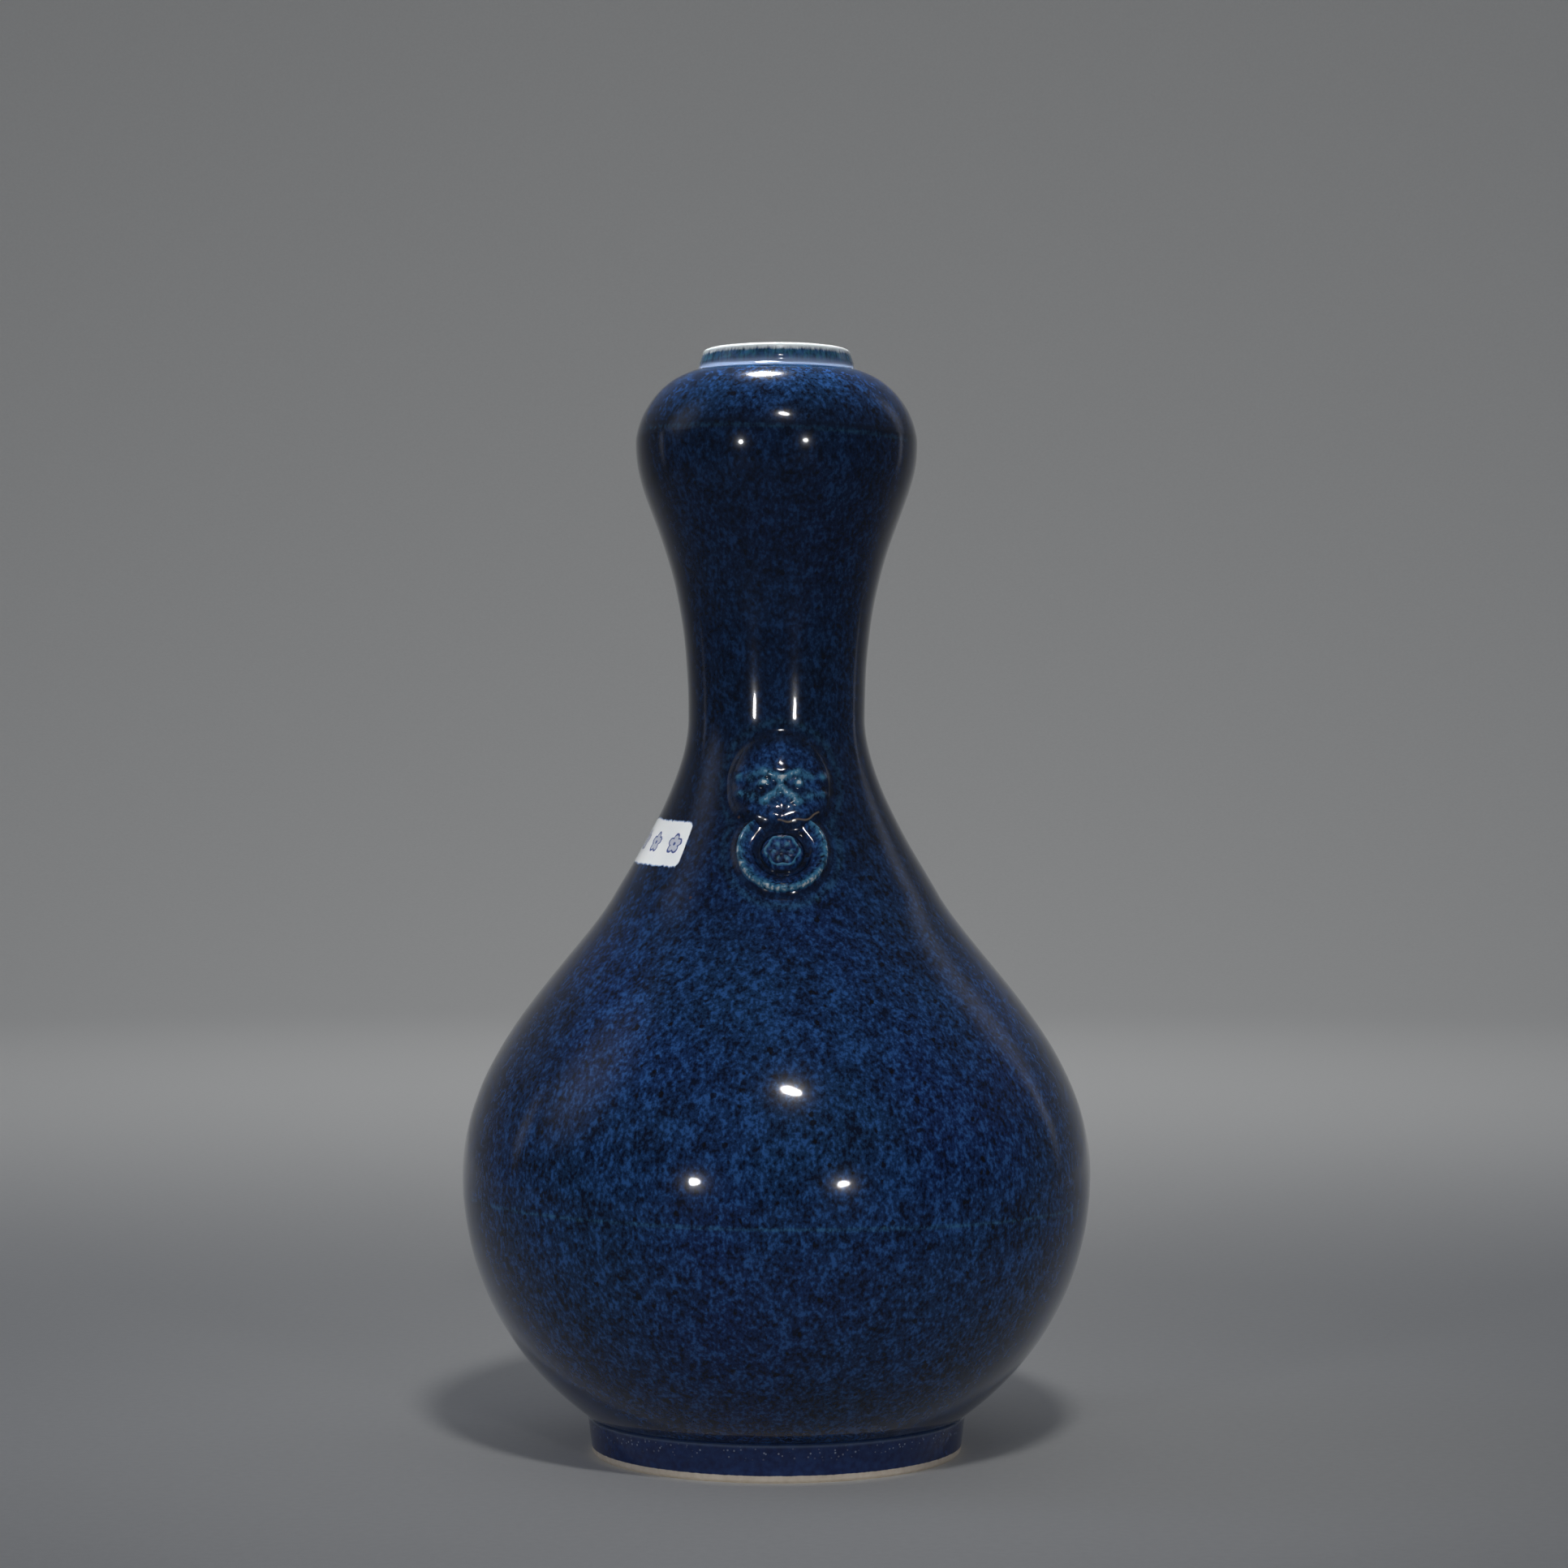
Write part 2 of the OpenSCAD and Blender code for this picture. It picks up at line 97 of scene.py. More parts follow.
def turned(outline):
    """Grid of points of an outline of (radius, height) turned about the vase's axis, from the front round."""
    turn = np.linspace(0, 2 * np.pi, wheel_turns, endpoint=False)[None, :]
    height = np.repeat(outline[:, 1:], wheel_turns, axis=1)
    radius = np.maximum(outline[:, :1] - unevenness(turn, height), 0)
    return np.stack([radius * np.sin(turn), -radius * np.cos(turn), height], axis=-1)


def bell(off, width):
    """1 where the offset is 0, and e to the minus square of the offset over the width to both sides."""
    return np.exp(-((off / width) ** 2))


def grid_faces(rows, columns, loop_rows):
    """A face between each four neighbours of a grid. Columns join round, and so do rows where they loop."""
    row = np.arange(rows if loop_rows else rows - 1)[:, None]
    column = np.arange(columns)[None, :]
    row_after = (row + 1) % rows
    column_after = (column + 1) % columns
    corners = [row * columns + column, row * columns + column_after]
    corners += [row_after * columns + column_after, row_after * columns + column]
    return np.stack(np.broadcast_arrays(*corners), axis=-1).reshape(-1, 4)


def glazed_piece(name, node, slot, points, material, loop_rows, **traits):
    """Closed mesh over a grid of points in millimetres, in its node's place. Rows that do not loop end in
    points that lie together. Faces are turned so that the volume that they enclose, summed over two corners
    of a face crossed and set against a third, is above zero. Each trait is a value at every point that the
    material reads."""
    rows, columns = points.shape[:2]
    faces = grid_faces(rows, columns, loop_rows)
    flat = points.reshape(-1, 3) * MM
    a, b, c, d = (flat[faces[:, i]] for i in range(4))
    volume = np.sum(np.cross(a, b) * c) + np.sum(np.cross(a, c) * d)
    if volume < 0:
        faces = faces[:, ::-1]
    mesh = bpy.data.meshes.new(name)
    mesh.from_pydata(flat, [], faces)
    for trait, values in traits.items():
        attribute = mesh.attributes.new(trait, "FLOAT", "POINT")
        everywhere = np.broadcast_to(values, (rows, columns)).astype(np.float32)
        attribute.data.foreach_set("value", everywhere.ravel())
    merged = bmesh.new()
    merged.from_mesh(mesh)
    bmesh.ops.remove_doubles(merged, verts=merged.verts, dist=weld_gap * MM)
    merged.to_mesh(mesh)
    merged.free()
    mesh.shade_smooth()
    mesh.set_sharp_from_angle(angle=fold_angle)
    mesh.materials.append(material)
    piece = bpy.data.objects.new(name, mesh)
    bpy.context.scene.collection.objects.link(piece)
    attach(piece, "root")
    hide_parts(node)
    vase.append(piece)
    return piece


def linear(colour):
    """Linear colour, with full alpha, of an sRGB colour written as six hex digits."""
    srgb = np.array([int(colour[i : i + 2], 16) / 255 for i in (0, 2, 4)])
    glow = np.where(srgb <= 0.04045, srgb / 12.92, ((srgb + 0.055) / 1.055) ** 2.4)
    return (*glow, 1.0)


def empty_material(name):
    """New material with nothing in its tree yet, and that tree."""
    material = bpy.data.materials.new(name)
    material.use_nodes = True
    material.node_tree.nodes.clear()
    return material, material.node_tree


def add(tree, kind, inputs, **settings):
    """Adds a shader node with its settings. An input takes a value, another node's socket, or a node, which
    gives its first output in use. Inputs are counted where names repeat: a Map Range takes a value at 0, the
    ends of its range at 1 and 2 and what they become at 3 and 4, and a Mix takes its share at 0, and two
    numbers at 2 and 3 or two colours at 6 and 7."""
    node = tree.nodes.new("ShaderNode" + kind)
    for setting, value in settings.items():
        setattr(node, setting, value)
    for socket, value in inputs.items():
        if isinstance(value, bpy.types.Node):
            value = next(output for output in value.outputs if output.enabled)
        if isinstance(value, bpy.types.NodeSocket):
            tree.links.new(value, node.inputs[socket])
        else:
            node.inputs[socket].default_value = value
    return node


def foot_glaze():
    """Thin cobalt glaze on porcelain, dipped and wiped: glossy violet blue with few grains, paler where an
    edge drew it thin, a line of pinholes under the seam, and matt buff clay on the bare resting edge."""
    grain_mm = 2.2
    pinhole_mm = 1.6
    skin_mm = 0.05
    dark_blue = linear("0f2150")
    light_blue = linear("1f3a70")
    drawn_thin = linear("7f93a8")
    pinhole_grey = linear("8fa0b8")
    dark_clay = linear("d2c2ac")
    light_clay = linear("f8eee0")
    material, tree = empty_material("thin_cobalt_glaze")
    place = add(tree, "TexCoord", {}).outputs["Object"]
    thin = add(tree, "Attribute", {}, attribute_name="thin").outputs["Fac"]
    bare = add(tree, "Attribute", {}, attribute_name="bare").outputs["Fac"]
    pitted = add(tree, "Attribute", {}, attribute_name="pitted").outputs["Fac"]
    grain = add(tree, "TexNoise", {"Vector": place, "Scale": 1 / (grain_mm * MM), "Detail": 3})
    tone = add(tree, "MapRange", {0: grain, 1: 0.25, 2: 0.8}, interpolation_type="SMOOTHSTEP")
    blue = add(tree, "Mix", {0: tone, 6: dark_blue, 7: light_blue}, data_type="RGBA")
    edged = add(tree, "Mix", {0: thin, 6: blue, 7: drawn_thin}, data_type="RGBA")
    holes = add(tree, "TexVoronoi", {"Vector": place, "Scale": 1 / (pinhole_mm * MM)})
    hole = add(tree, "MapRange", {0: holes, 1: 0.14, 2: 0.24, 3: 1, 4: 0}, interpolation_type="SMOOTHSTEP")
    hole_here = add(tree, "Math", {0: hole, 1: pitted}, operation="MULTIPLY")
    pricked = add(tree, "Mix", {0: hole_here, 6: edged, 7: pinhole_grey}, data_type="RGBA")
    clay = add(tree, "Mix", {0: grain, 6: dark_clay, 7: light_clay}, data_type="RGBA")
    ragged = add(tree, "Math", {0: grain, 1: 0.5, 2: -0.25}, operation="MULTIPLY_ADD")
    bare_edge = add(tree, "Math", {0: bare, 1: ragged}, operation="ADD")
    bare_here = add(tree, "MapRange", {0: bare_edge, 1: 0.45, 2: 0.6})
    colour = add(tree, "Mix", {0: bare_here, 6: pricked, 7: clay}, data_type="RGBA")
    roughness = add(tree, "MapRange", {0: bare_here, 3: 0.09, 4: 0.75})
    relief = add(tree, "Math", {0: hole_here, 1: -0.5, 2: grain}, operation="MULTIPLY_ADD")
    bump = add(tree, "Bump", {"Height": relief, "Distance": skin_mm * MM, "Strength": 0.5})
    glass = add(tree, "BsdfPrincipled", {
        "Base Color": colour, "Roughness": roughness, "IOR": 1.5, "Normal": bump})
    add(tree, "OutputMaterial", {"Surface": glass})
    return material


foot_outline = straight_sides([
    (foot_rest_r - foot_bevel - foot_rest_w, 0),
    (foot_rest_r - foot_bevel, 0),
    (foot_rest_r, foot_bevel),
    (foot_top_r, foot_h - foot_bevel),
    (foot_top_r - foot_bevel, foot_h),
    (foot_bore_r, foot_h),
    (foot_bore_r, foot_h - foot_seat_drop),
], foot_step)
foot_points = turned(foot_outline)
foot_z = foot_points[..., 2]
glazed_piece(
    "foot_ring_glazed", "foot_ring", "foot_glaze", foot_points, foot_glaze(), True,
    thin=thin_edge * bell(foot_z - foot_h + foot_bevel, thin_edge_w),
    bare=np.clip(0.5 + (bare_edge_h - foot_z) / bare_edge_w, 0, 1),
    pitted=bell(foot_z - foot_h + pinhole_drop, pinhole_band_w),
)


# Lower body
# Thrown porcelain bowl with a thick floor, a low disc under it that the foot ring is luted round, and a
# tongue round its top. The sprinkled cobalt glaze runs over every seam; the base underneath is glazed white.

belly_seam_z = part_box("upper_body")[0].z / MM
neck_seam_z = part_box("neck")[0].z / MM
bulb_seam_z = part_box("bulb_top")[0].z / MM
rim_seat_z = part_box("bulb_top")[1].z / MM
belly_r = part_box("upper_body")[1].x / MM
bulb_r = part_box("neck")[1].x / MM
rim_seat_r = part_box("mouth_rim")[1].x / MM
belly_over_seam = 7
throat_over_belly = 94
neck_under_joint = 4
bulb_under_seam = 2
belly_z = belly_seam_z + belly_over_seam
throat_z = belly_z + throat_over_belly
neck_z = neck_seam_z - neck_under_joint
bulb_z = bulb_seam_z - bulb_under_seam
throat_r = 54.2
neck_r = 29.8
base_floor = 7
floor_z = foot_h + base_floor
floor_rings = 30
disc_h = 3
disc_step = 2
body_wall = 5.5
neck_wall = 4.4
lap_h = 6
slip_gap = 0.1
bowl_inner_step = 1.8
seam_ridge = 0.06
seam_ridge_w = 1.3
belly_seam_tilt = np.tan(np.radians(0.75))
belly_seam_w = 0.9
belly_seam_thin = 0.2
clear_glaze = 4
bowl_darkening = 0.55


def stride(length, degrees):
    """Step of a length at an angle above level, as (radius, height)."""
    return length * np.array([np.cos(np.radians(degrees)), np.sin(np.radians(degrees))])


def pulled_curve(start, leaving, arriving, end, count=240):
    """Points of the cubic curve that leaves start by one step and arrives at end after another."""
    t = np.linspace(0, 1, count)[:, None]
    s = 1 - t
    start, end = np.array(start), np.array(end)
    return s**3 * start + 3 * s * s * t * (start + leaving) + 3 * s * t * t * (end - arriving) + t**3 * end


foot_pull = stride(44.5, 36)
belly_pull_below = stride(19, 90)
belly_pull_above = stride(42.5, 90)
throat_pull_below = stride(25.5, 119)
throat_pull_above = stride(10, 119)
neck_pull_below = stride(21, 90)
neck_pull_above = stride(59.5, 90)
bulb_pull_below = stride(23, 90)
bulb_pull_above = stride(8, 90)
rim_pull = stride(13.4, 165)
outline = np.concatenate([
    pulled_curve((foot_top_r, foot_h), foot_pull, belly_pull_below, (belly_r, belly_z))[:-1],
    pulled_curve((belly_r, belly_z), belly_pull_above, throat_pull_below, (throat_r, throat_z))[:-1],
    pulled_curve((throat_r, throat_z), throat_pull_above, neck_pull_below, (neck_r, neck_z))[:-1],
    pulled_curve((neck_r, neck_z), neck_pull_above, bulb_pull_below, (bulb_r, bulb_z))[:-1],
    pulled_curve((bulb_r, bulb_z), bulb_pull_above, rim_pull, (rim_seat_r, rim_seat_z)),
])
for seam_z in (belly_seam_z, bulb_seam_z):
    outline[:, 0] += seam_ridge * bell(outline[:, 1] - seam_z, seam_ridge_w)
outline[:, 0] = np.minimum(outline[:, 0], belly_r)
outline_run = np.concatenate([[0], np.cumsum(np.hypot(*np.diff(outline, axis=0).T))])
outline_way = np.gradient(outline, outline_run, axis=0)
outline_out = np.stack([outline_way[:, 1], -outline_way[:, 0]], axis=1)


def run_at(height):
    """Length along the wall's outline, from the foot, at a height."""
    return np.interp(height, outline[:, 1], outline_run)


def wall_thickness(height):
    """Thickness of the wall: even up to the belly and from the neck, easing between them."""
    return np.interp(height, [belly_z, neck_z], [body_wall, neck_wall])


def wall_at(run, lift):
    """Radius and height of a point at a length along the wall's outline, lifted off it or sunk in."""
    out, up = (np.interp(run, outline_run, outline_out[:, i]) for i in range(2))
    radius = np.interp(run, outline_run, outline[:, 0]) + lift * out
    height = np.interp(run, outline_run, outline[:, 1]) + lift * up
    return radius, height


def wall_line(low_z, high_z, share, clearance=0, step=0.9):
    """Outline points between two heights, at a share of the wall's thickness under its face."""
    first, last = run_at(low_z), run_at(high_z)
    run = np.linspace(first, last, max(2, round(abs(last - first) / step)))
    depth = share * wall_thickness(np.interp(run, outline_run, outline[:, 1])) + clearance
    return np.stack(wall_at(run, -depth), axis=1)


def inside(points):
    """1 deeper than three quarters of the wall, on its inner face and under the base, where the glaze is
    clear, and 0 on the outer face and in the laps."""
    radius = np.hypot(points[..., 0], points[..., 1])
    height = points[..., 2]
    outer = np.interp(height, outline[:, 1], outline[:, 0])
    return np.where(radius < outer - 0.75 * wall_thickness(height), 1.0, 0.0)


def seam_line(points, seam_z, tilt, width):
    """Level line round the vase where the glaze ran thin over a luted seam, a little tilted."""
    return bell(points[..., 2] - seam_z + tilt * points[..., 0], width)


def sprinkled_glaze():
    """Cobalt sprinkled and blown into a clear glaze on porcelain, fired glossy: deep blue with grains of
    darker and lighter blue and small black spots, teal and then white where the glaze ran thin, nearly black
    where it pooled, a few iron specks, rusty where it cracked, and a glassy skin like fine orange peel.
    Painted light makes it paler near the dome's rim, and painted shade darkens it on the neck, the garlic
    head and the masks."""
    grain_mm = 1.3
    clump_mm = 3.6
    blotch_mm = 12
    cloud_mm = 55
    spot_mm = 6
    speck_mm = 34
    peel_mm = 7
    peel_depth_mm = 0.08
    flow_stretch = 0.75
    violet_ground = linear("142d5f")
    green_ground = linear("16355c")
    light_grain = linear("2d5c9c")
    dark_grain = linear("07142c")
    black_spot = linear("090b14")
    thin_and_lit_teal = linear("417fa2")
    bare_white = linear("d3dcde")
    pooled_blue = linear("081222")
    iron_brown = linear("5a4334")
    cracked_rust = linear("8a7b68")
    material, tree = empty_material("sprinkled_cobalt_glaze")
    still = add(tree, "TexCoord", {}).outputs["Object"]
    place = add(tree, "Mapping", {"Vector": still, "Scale": (1, 1, flow_stretch)})
    thin = add(tree, "Attribute", {}, attribute_name="thin").outputs["Fac"]
    pool = add(tree, "Attribute", {}, attribute_name="pool").outputs["Fac"]
    rust = add(tree, "Attribute", {}, attribute_name="rust").outputs["Fac"]
    grain = add(tree, "TexNoise", {
        "Vector": place, "Scale": 1 / (grain_mm * MM), "Detail": 3, "Roughness": 0.6})
    clump = add(tree, "TexNoise", {
        "Vector": place, "Scale": 1 / (clump_mm * MM), "Detail": 2, "Roughness": 0.5})
    cloud = add(tree, "TexNoise", {"Vector": place, "Scale": 1 / (cloud_mm * MM), "Detail": 2})
    blotch = add(tree, "TexNoise", {"Vector": place, "Scale": 1 / (blotch_mm * MM), "Detail": 1})
    blown = add(tree, "Mix", {0: 0.22, 2: clump, 3: blotch})
    sown = add(tree, "Mix", {0: 0.4, 2: grain, 3: blown})
    dark = add(tree, "MapRange", {0: sown, 1: 0.39, 2: 0.5, 3: 1, 4: 0}, interpolation_type="SMOOTHSTEP")
    light = add(tree, "MapRange", {0: sown, 1: 0.49, 2: 0.63}, interpolation_type="SMOOTHSTEP")
    drift = add(tree, "MapRange", {0: cloud, 1: 0.35, 2: 0.65})
    ground = add(tree, "Mix", {0: drift, 6: violet_ground, 7: green_ground}, data_type="RGBA")
    lit = add(tree, "Mix", {0: light, 6: ground, 7: light_grain}, data_type="RGBA")
    flecked = add(tree, "Mix", {0: dark, 6: lit, 7: dark_grain}, data_type="RGBA")
    sieved = add(tree, "TexVoronoi", {"Vector": still, "Scale": 1 / (spot_mm * MM)})
    ragged = add(tree, "Math", {0: grain, 1: 0.24, 2: sieved}, operation="MULTIPLY_ADD")
    sized = add(tree, "Math", {0: sieved.outputs["Color"], 1: 0.14, 2: ragged}, operation="MULTIPLY_ADD")
    spot = add(tree, "MapRange", {0: sized, 1: 0.3, 2: 0.37, 3: 0.85, 4: 0})
    spotted = add(tree, "Mix", {0: spot, 6: flecked, 7: black_spot}, data_type="RGBA")
    worn = add(tree, "MapRange", {0: sown, 1: 0.36, 2: 0.64, 3: 0.3, 4: 1.7})
    # The thin trait also carries painted light near the dome's rim, which turns the blue teal there
    bare = add(tree, "Math", {0: thin, 1: worn}, operation="MULTIPLY")
    to_teal = add(tree, "MapRange", {0: bare, 1: 0.05, 2: 0.5}, interpolation_type="SMOOTHSTEP")
    to_white = add(tree, "MapRange", {0: bare, 1: 0.45, 2: 0.95}, interpolation_type="SMOOTHSTEP")
    teal = add(tree, "Mix", {0: to_teal, 6: spotted, 7: thin_and_lit_teal}, data_type="RGBA")
    white = add(tree, "Mix", {0: to_white, 6: teal, 7: bare_white}, data_type="RGBA")
    # The pool trait also carries painted shade on the neck, head and masks, darkened here like pooled glaze
    deep = add(tree, "Math", {0: pool, 1: 0.82}, operation="MULTIPLY")
    pooled = add(tree, "Mix", {0: deep, 6: white, 7: pooled_blue}, data_type="RGBA")
    cells = add(tree, "TexVoronoi", {"Vector": still, "Scale": 1 / (speck_mm * MM)})
    speck = add(tree, "MapRange", {0: cells, 1: 0.012, 2: 0.022, 3: 0.8, 4: 0})
    specked = add(tree, "Mix", {0: speck, 6: pooled, 7: iron_brown}, data_type="RGBA")
    colour = add(tree, "Mix", {0: rust, 6: specked, 7: cracked_rust}, data_type="RGBA")
    peel = add(tree, "TexNoise", {"Vector": still, "Scale": 1 / (peel_mm * MM), "Detail": 1})
    bump = add(tree, "Bump", {"Height": peel, "Distance": peel_depth_mm * MM, "Strength": 0.5})
    glass = add(tree, "BsdfPrincipled", {
        "Base Color": colour, "Roughness": 0.16, "IOR": 1.2, "Coat Weight": 0.85,
        "Coat Roughness": 0.05, "Coat IOR": 1.32, "Normal": bump, "Coat Normal": bump})
    add(tree, "OutputMaterial", {"Surface": glass})
    return material


blue_glaze = sprinkled_glaze()
base_line = straight_sides([
    (0, foot_h - disc_h),
    (foot_bore_r - slip_gap, foot_h - disc_h),
    (foot_bore_r - slip_gap, foot_h),
    (foot_top_r, foot_h),
], disc_step, closed=False)
inner_line = wall_line(belly_seam_z + lap_h, foot_h, 1, step=bowl_inner_step)
inner_line = inner_line[inner_line[:, 1] > floor_z]
bowl_floor = np.linspace((inner_line[-1, 0], floor_z), (0, floor_z), floor_rings)
lower_points = turned(np.concatenate([
    base_line,
    wall_line(foot_h, belly_seam_z, 0),
    wall_line(belly_seam_z, belly_seam_z + lap_h, 0.5, slip_gap),
    inner_line,
    bowl_floor,
]))
lower_inside = inside(lower_points)
lower_seam = belly_seam_thin * seam_line(lower_points, belly_seam_z, belly_seam_tilt, belly_seam_w)
# The bowl's outer blue is drawn darker towards the foot
lower_down = np.clip((belly_seam_z - lower_points[..., 2]) / (belly_seam_z - foot_h), 0, 1)
glazed_piece(
    "lower_body_glazed", "lower_body", "blue_glaze", lower_points, blue_glaze, False,
    thin=np.maximum(clear_glaze * lower_inside, lower_seam),
    pool=bowl_darkening * lower_down**1.5 * (1 - lower_inside),
)


# Upper body
# Thrown porcelain shoulder from the belly's seam up to the neck, luted over the bowl's tongue.
# The reliefs and the white panel sit on it, and the glaze gathers and thins around the reliefs.

mask_w = 32
mask_up = 17.5
mask_down = 14
mask_under_neck = 23
crown_power = 2.0
jaw_power = 2.6
mask_run = run_at(neck_z - mask_under_neck)
ring_r = 15
ring_under_jaw = 5
ring_run = mask_run - mask_down - ring_r + ring_under_jaw
section_inner_step = 5.5
halo_off = 4.6
halo_w = 2.4
halo_thin = 0.17
pool_w = 2.4
# Painted shade: the blue is drawn darker on the neck and garlic head, ramping in up the shoulder from a
# height
neck_painted_shade = 0.85
shade_start_z = throat_z - 30
shade_rise_h = 55


def mask_reach(direction):
    """Distance from a mask's middle to its edge, a superellipse: a round crown above, a squarer jaw below."""
    up = np.sin(direction) >= 0
    power = np.where(up, crown_power, jaw_power)
    across = np.abs(np.cos(direction)) / (mask_w / 2)
    along = np.abs(np.sin(direction)) / np.where(up, mask_up, mask_down)
    return (across**power + along**power) ** (-1 / power)


def off_reliefs(points):
    """Distance along the wall from the nearest edge of a mask or of its ring, below zero within them."""
    turn = np.arctan2(points[..., 0], -points[..., 1])
    folded = (turn + np.pi / 2) % np.pi - np.pi / 2
    around = folded * np.hypot(points[..., 0], points[..., 1])
    run = run_at(points[..., 2])
    mask_off = np.hypot(around, run - mask_run) - mask_reach(np.arctan2(run - mask_run, around))
    ring_off = np.hypot(around, run - ring_run) - ring_r
    return np.minimum(mask_off, ring_off)


def section_outline(low_z, high_z):
    """Outline of a thrown section: up its outer face and its tongue, down its inner face and its rebate."""
    return np.concatenate([
        wall_line(low_z, high_z, 0),
        wall_line(high_z, high_z + lap_h, 0.5, slip_gap),
        wall_line(high_z + lap_h, low_z + lap_h, 1, step=section_inner_step),
        wall_line(low_z + lap_h, low_z, 0.5),
    ])


upper_points = turned(section_outline(belly_seam_z, neck_seam_z))
upper_inside = inside(upper_points)
upper_off = off_reliefs(upper_points)
upper_halo = halo_thin * bell(upper_off - halo_off, halo_w)
upper_seam = belly_seam_thin * seam_line(upper_points, belly_seam_z, belly_seam_tilt, belly_seam_w)
upper_pool = bell(np.maximum(upper_off, 0), pool_w)
# Painted shade: the shoulder's blue is drawn darker as it rises towards the neck
upper_painted_shade = neck_painted_shade * np.clip((upper_points[..., 2] - shade_start_z) / shade_rise_h, 0, 1)
glazed_piece(
    "upper_body_glazed", "upper_body", "blue_glaze", upper_points, blue_glaze, True,
    thin=np.maximum(clear_glaze * upper_inside, np.maximum(upper_halo, upper_seam)),
    pool=np.where(upper_inside > 0, 0, np.maximum(upper_painted_shade, upper_pool)),
)


# Mark panel
# Thin white layer let into the shoulder on the vase's left: the blue was kept off it, and a clear glaze
# covers it. Six small blossoms are brushed on it in cobalt, and the blue bleeds a little over its edges.

panel_over_throat = 18
panel_z = throat_z + panel_over_throat
panel_h = 15
panel_half_turn = np.radians(46)
panel_tilt = np.tan(np.radians(2.5))
panel_lift = 0.05
panel_depth = 0.8
panel_corner = 2.6
panel_end_w = 0.3
panel_tear = 0.22
panel_bleed = 0.9
panel_columns = 241
panel_rows = 33
panel_blossoms = 6
panel_r = np.interp(panel_z, outline[:, 1], outline[:, 0])
panel_half_w = panel_half_turn * panel_r
blossom_pitch = 2 * panel_half_w / panel_blossoms


def panel_glaze():
    """Clear glaze over white slip, glossy and faintly blue, with cobalt brushwork under it: each blossom has
    five washed petals inside a darker brushed line, and a dot in the middle. A petal's edge is a cosine of
    the angle round the blossom, shaken by the brush."""
    blossom_r = 3.1
    blossom_petals = 5
    brush_mm = 0.9
    cloud_mm = 6
    skin_mm = 0.05
    blue_white = linear("e6ebee")
    warm_white = linear("f6f6f4")
    bled_blue = linear("5b7fb0")
    brushed_blue = linear("2c4486")
    half_pitch = blossom_pitch / 2
    material, tree = empty_material("clear_glaze_over_white_slip")
    place = add(tree, "TexCoord", {}).outputs["Object"]
    along = add(tree, "Attribute", {}, attribute_name="along").outputs["Fac"]
    up = add(tree, "Attribute", {}, attribute_name="up").outputs["Fac"]
    edge = add(tree, "Attribute", {}, attribute_name="edge").outputs["Fac"]
    stepped = add(tree, "Math", {0: along, 1: half_pitch}, operation="ADD")
    across = add(tree, "Math", {0: stepped, 1: half_pitch, 2: -half_pitch}, operation="WRAP")
    wobble = add(tree, "TexNoise", {"Vector": place, "Scale": 1 / (brush_mm * MM), "Detail": 2})
    cloud = add(tree, "TexNoise", {"Vector": place, "Scale": 1 / (cloud_mm * MM), "Detail": 2})
    spoke = add(tree, "CombineXYZ", {0: across, 1: up})
    distance = add(tree, "VectorMath", {0: spoke}, operation="LENGTH")
    angle = add(tree, "Math", {0: across, 1: up}, operation="ARCTAN2")
    petal_angle = add(tree, "Math", {0: angle, 1: blossom_petals / 2}, operation="MULTIPLY")
    swing = add(tree, "Math", {0: petal_angle}, operation="COSINE")
    bulge = add(tree, "Math", {0: swing}, operation="ABSOLUTE")
    petal_edge = add(tree, "Math", {0: bulge, 1: 0.34 * blossom_r, 2: 0.66 * blossom_r},
                     operation="MULTIPLY_ADD")
    beyond = add(tree, "Math", {0: distance, 1: petal_edge}, operation="SUBTRACT")
    shaky = add(tree, "Math", {0: wobble, 1: 0.7, 2: -0.35}, operation="MULTIPLY_ADD")
    loose = add(tree, "Math", {0: beyond, 1: shaky}, operation="ADD")
    off_line = add(tree, "Math", {0: loose}, operation="ABSOLUTE")
    line = add(tree, "MapRange", {0: off_line, 1: 0.22, 2: 0.5, 3: 0.95, 4: 0})
    wash = add(tree, "MapRange", {0: loose, 1: -0.3, 2: 0.1, 3: 0.42, 4: 0})
    dot = add(tree, "MapRange", {0: distance, 1: 0.5, 2: 0.8, 3: 0.95, 4: 0})
    inked = add(tree, "Math", {0: line, 1: wash}, operation="MAXIMUM")
    brushed = add(tree, "Math", {0: inked, 1: dot}, operation="MAXIMUM")
    slip = add(tree, "Mix", {0: cloud, 6: blue_white, 7: warm_white}, data_type="RGBA")
    bled = add(tree, "Math", {0: edge, 1: wobble, 2: edge}, operation="MULTIPLY_ADD")
    stained = add(tree, "MapRange", {0: bled, 1: 0.85, 2: 1.35})
    bordered = add(tree, "Mix", {0: stained, 6: slip, 7: bled_blue}, data_type="RGBA")
    colour = add(tree, "Mix", {0: brushed, 6: bordered, 7: brushed_blue}, data_type="RGBA")
    bump = add(tree, "Bump", {"Height": cloud, "Distance": skin_mm * MM, "Strength": 0.4})
    glass = add(tree, "BsdfPrincipled", {
        "Base Color": colour, "Roughness": 0.07, "IOR": 1.5, "Normal": bump})
    add(tree, "OutputMaterial", {"Surface": glass})
    return material


def vase_point(turn, run, lift):
    """Point of the vase's wall at a turn from the front and a length along its outline, lifted off it."""
    radius, height = wall_at(run, lift)
    radius = radius - unevenness(turn, height)
    return np.stack([radius * np.sin(turn), -radius * np.cos(turn), height], axis=-1)


def torn_edge(draws, count):
    """Small ups and downs along an edge: random heights, smoothed over each few neighbours."""
    return np.convolve(draws.normal(size=count), np.hanning(5) / 2, "same")[:, None]


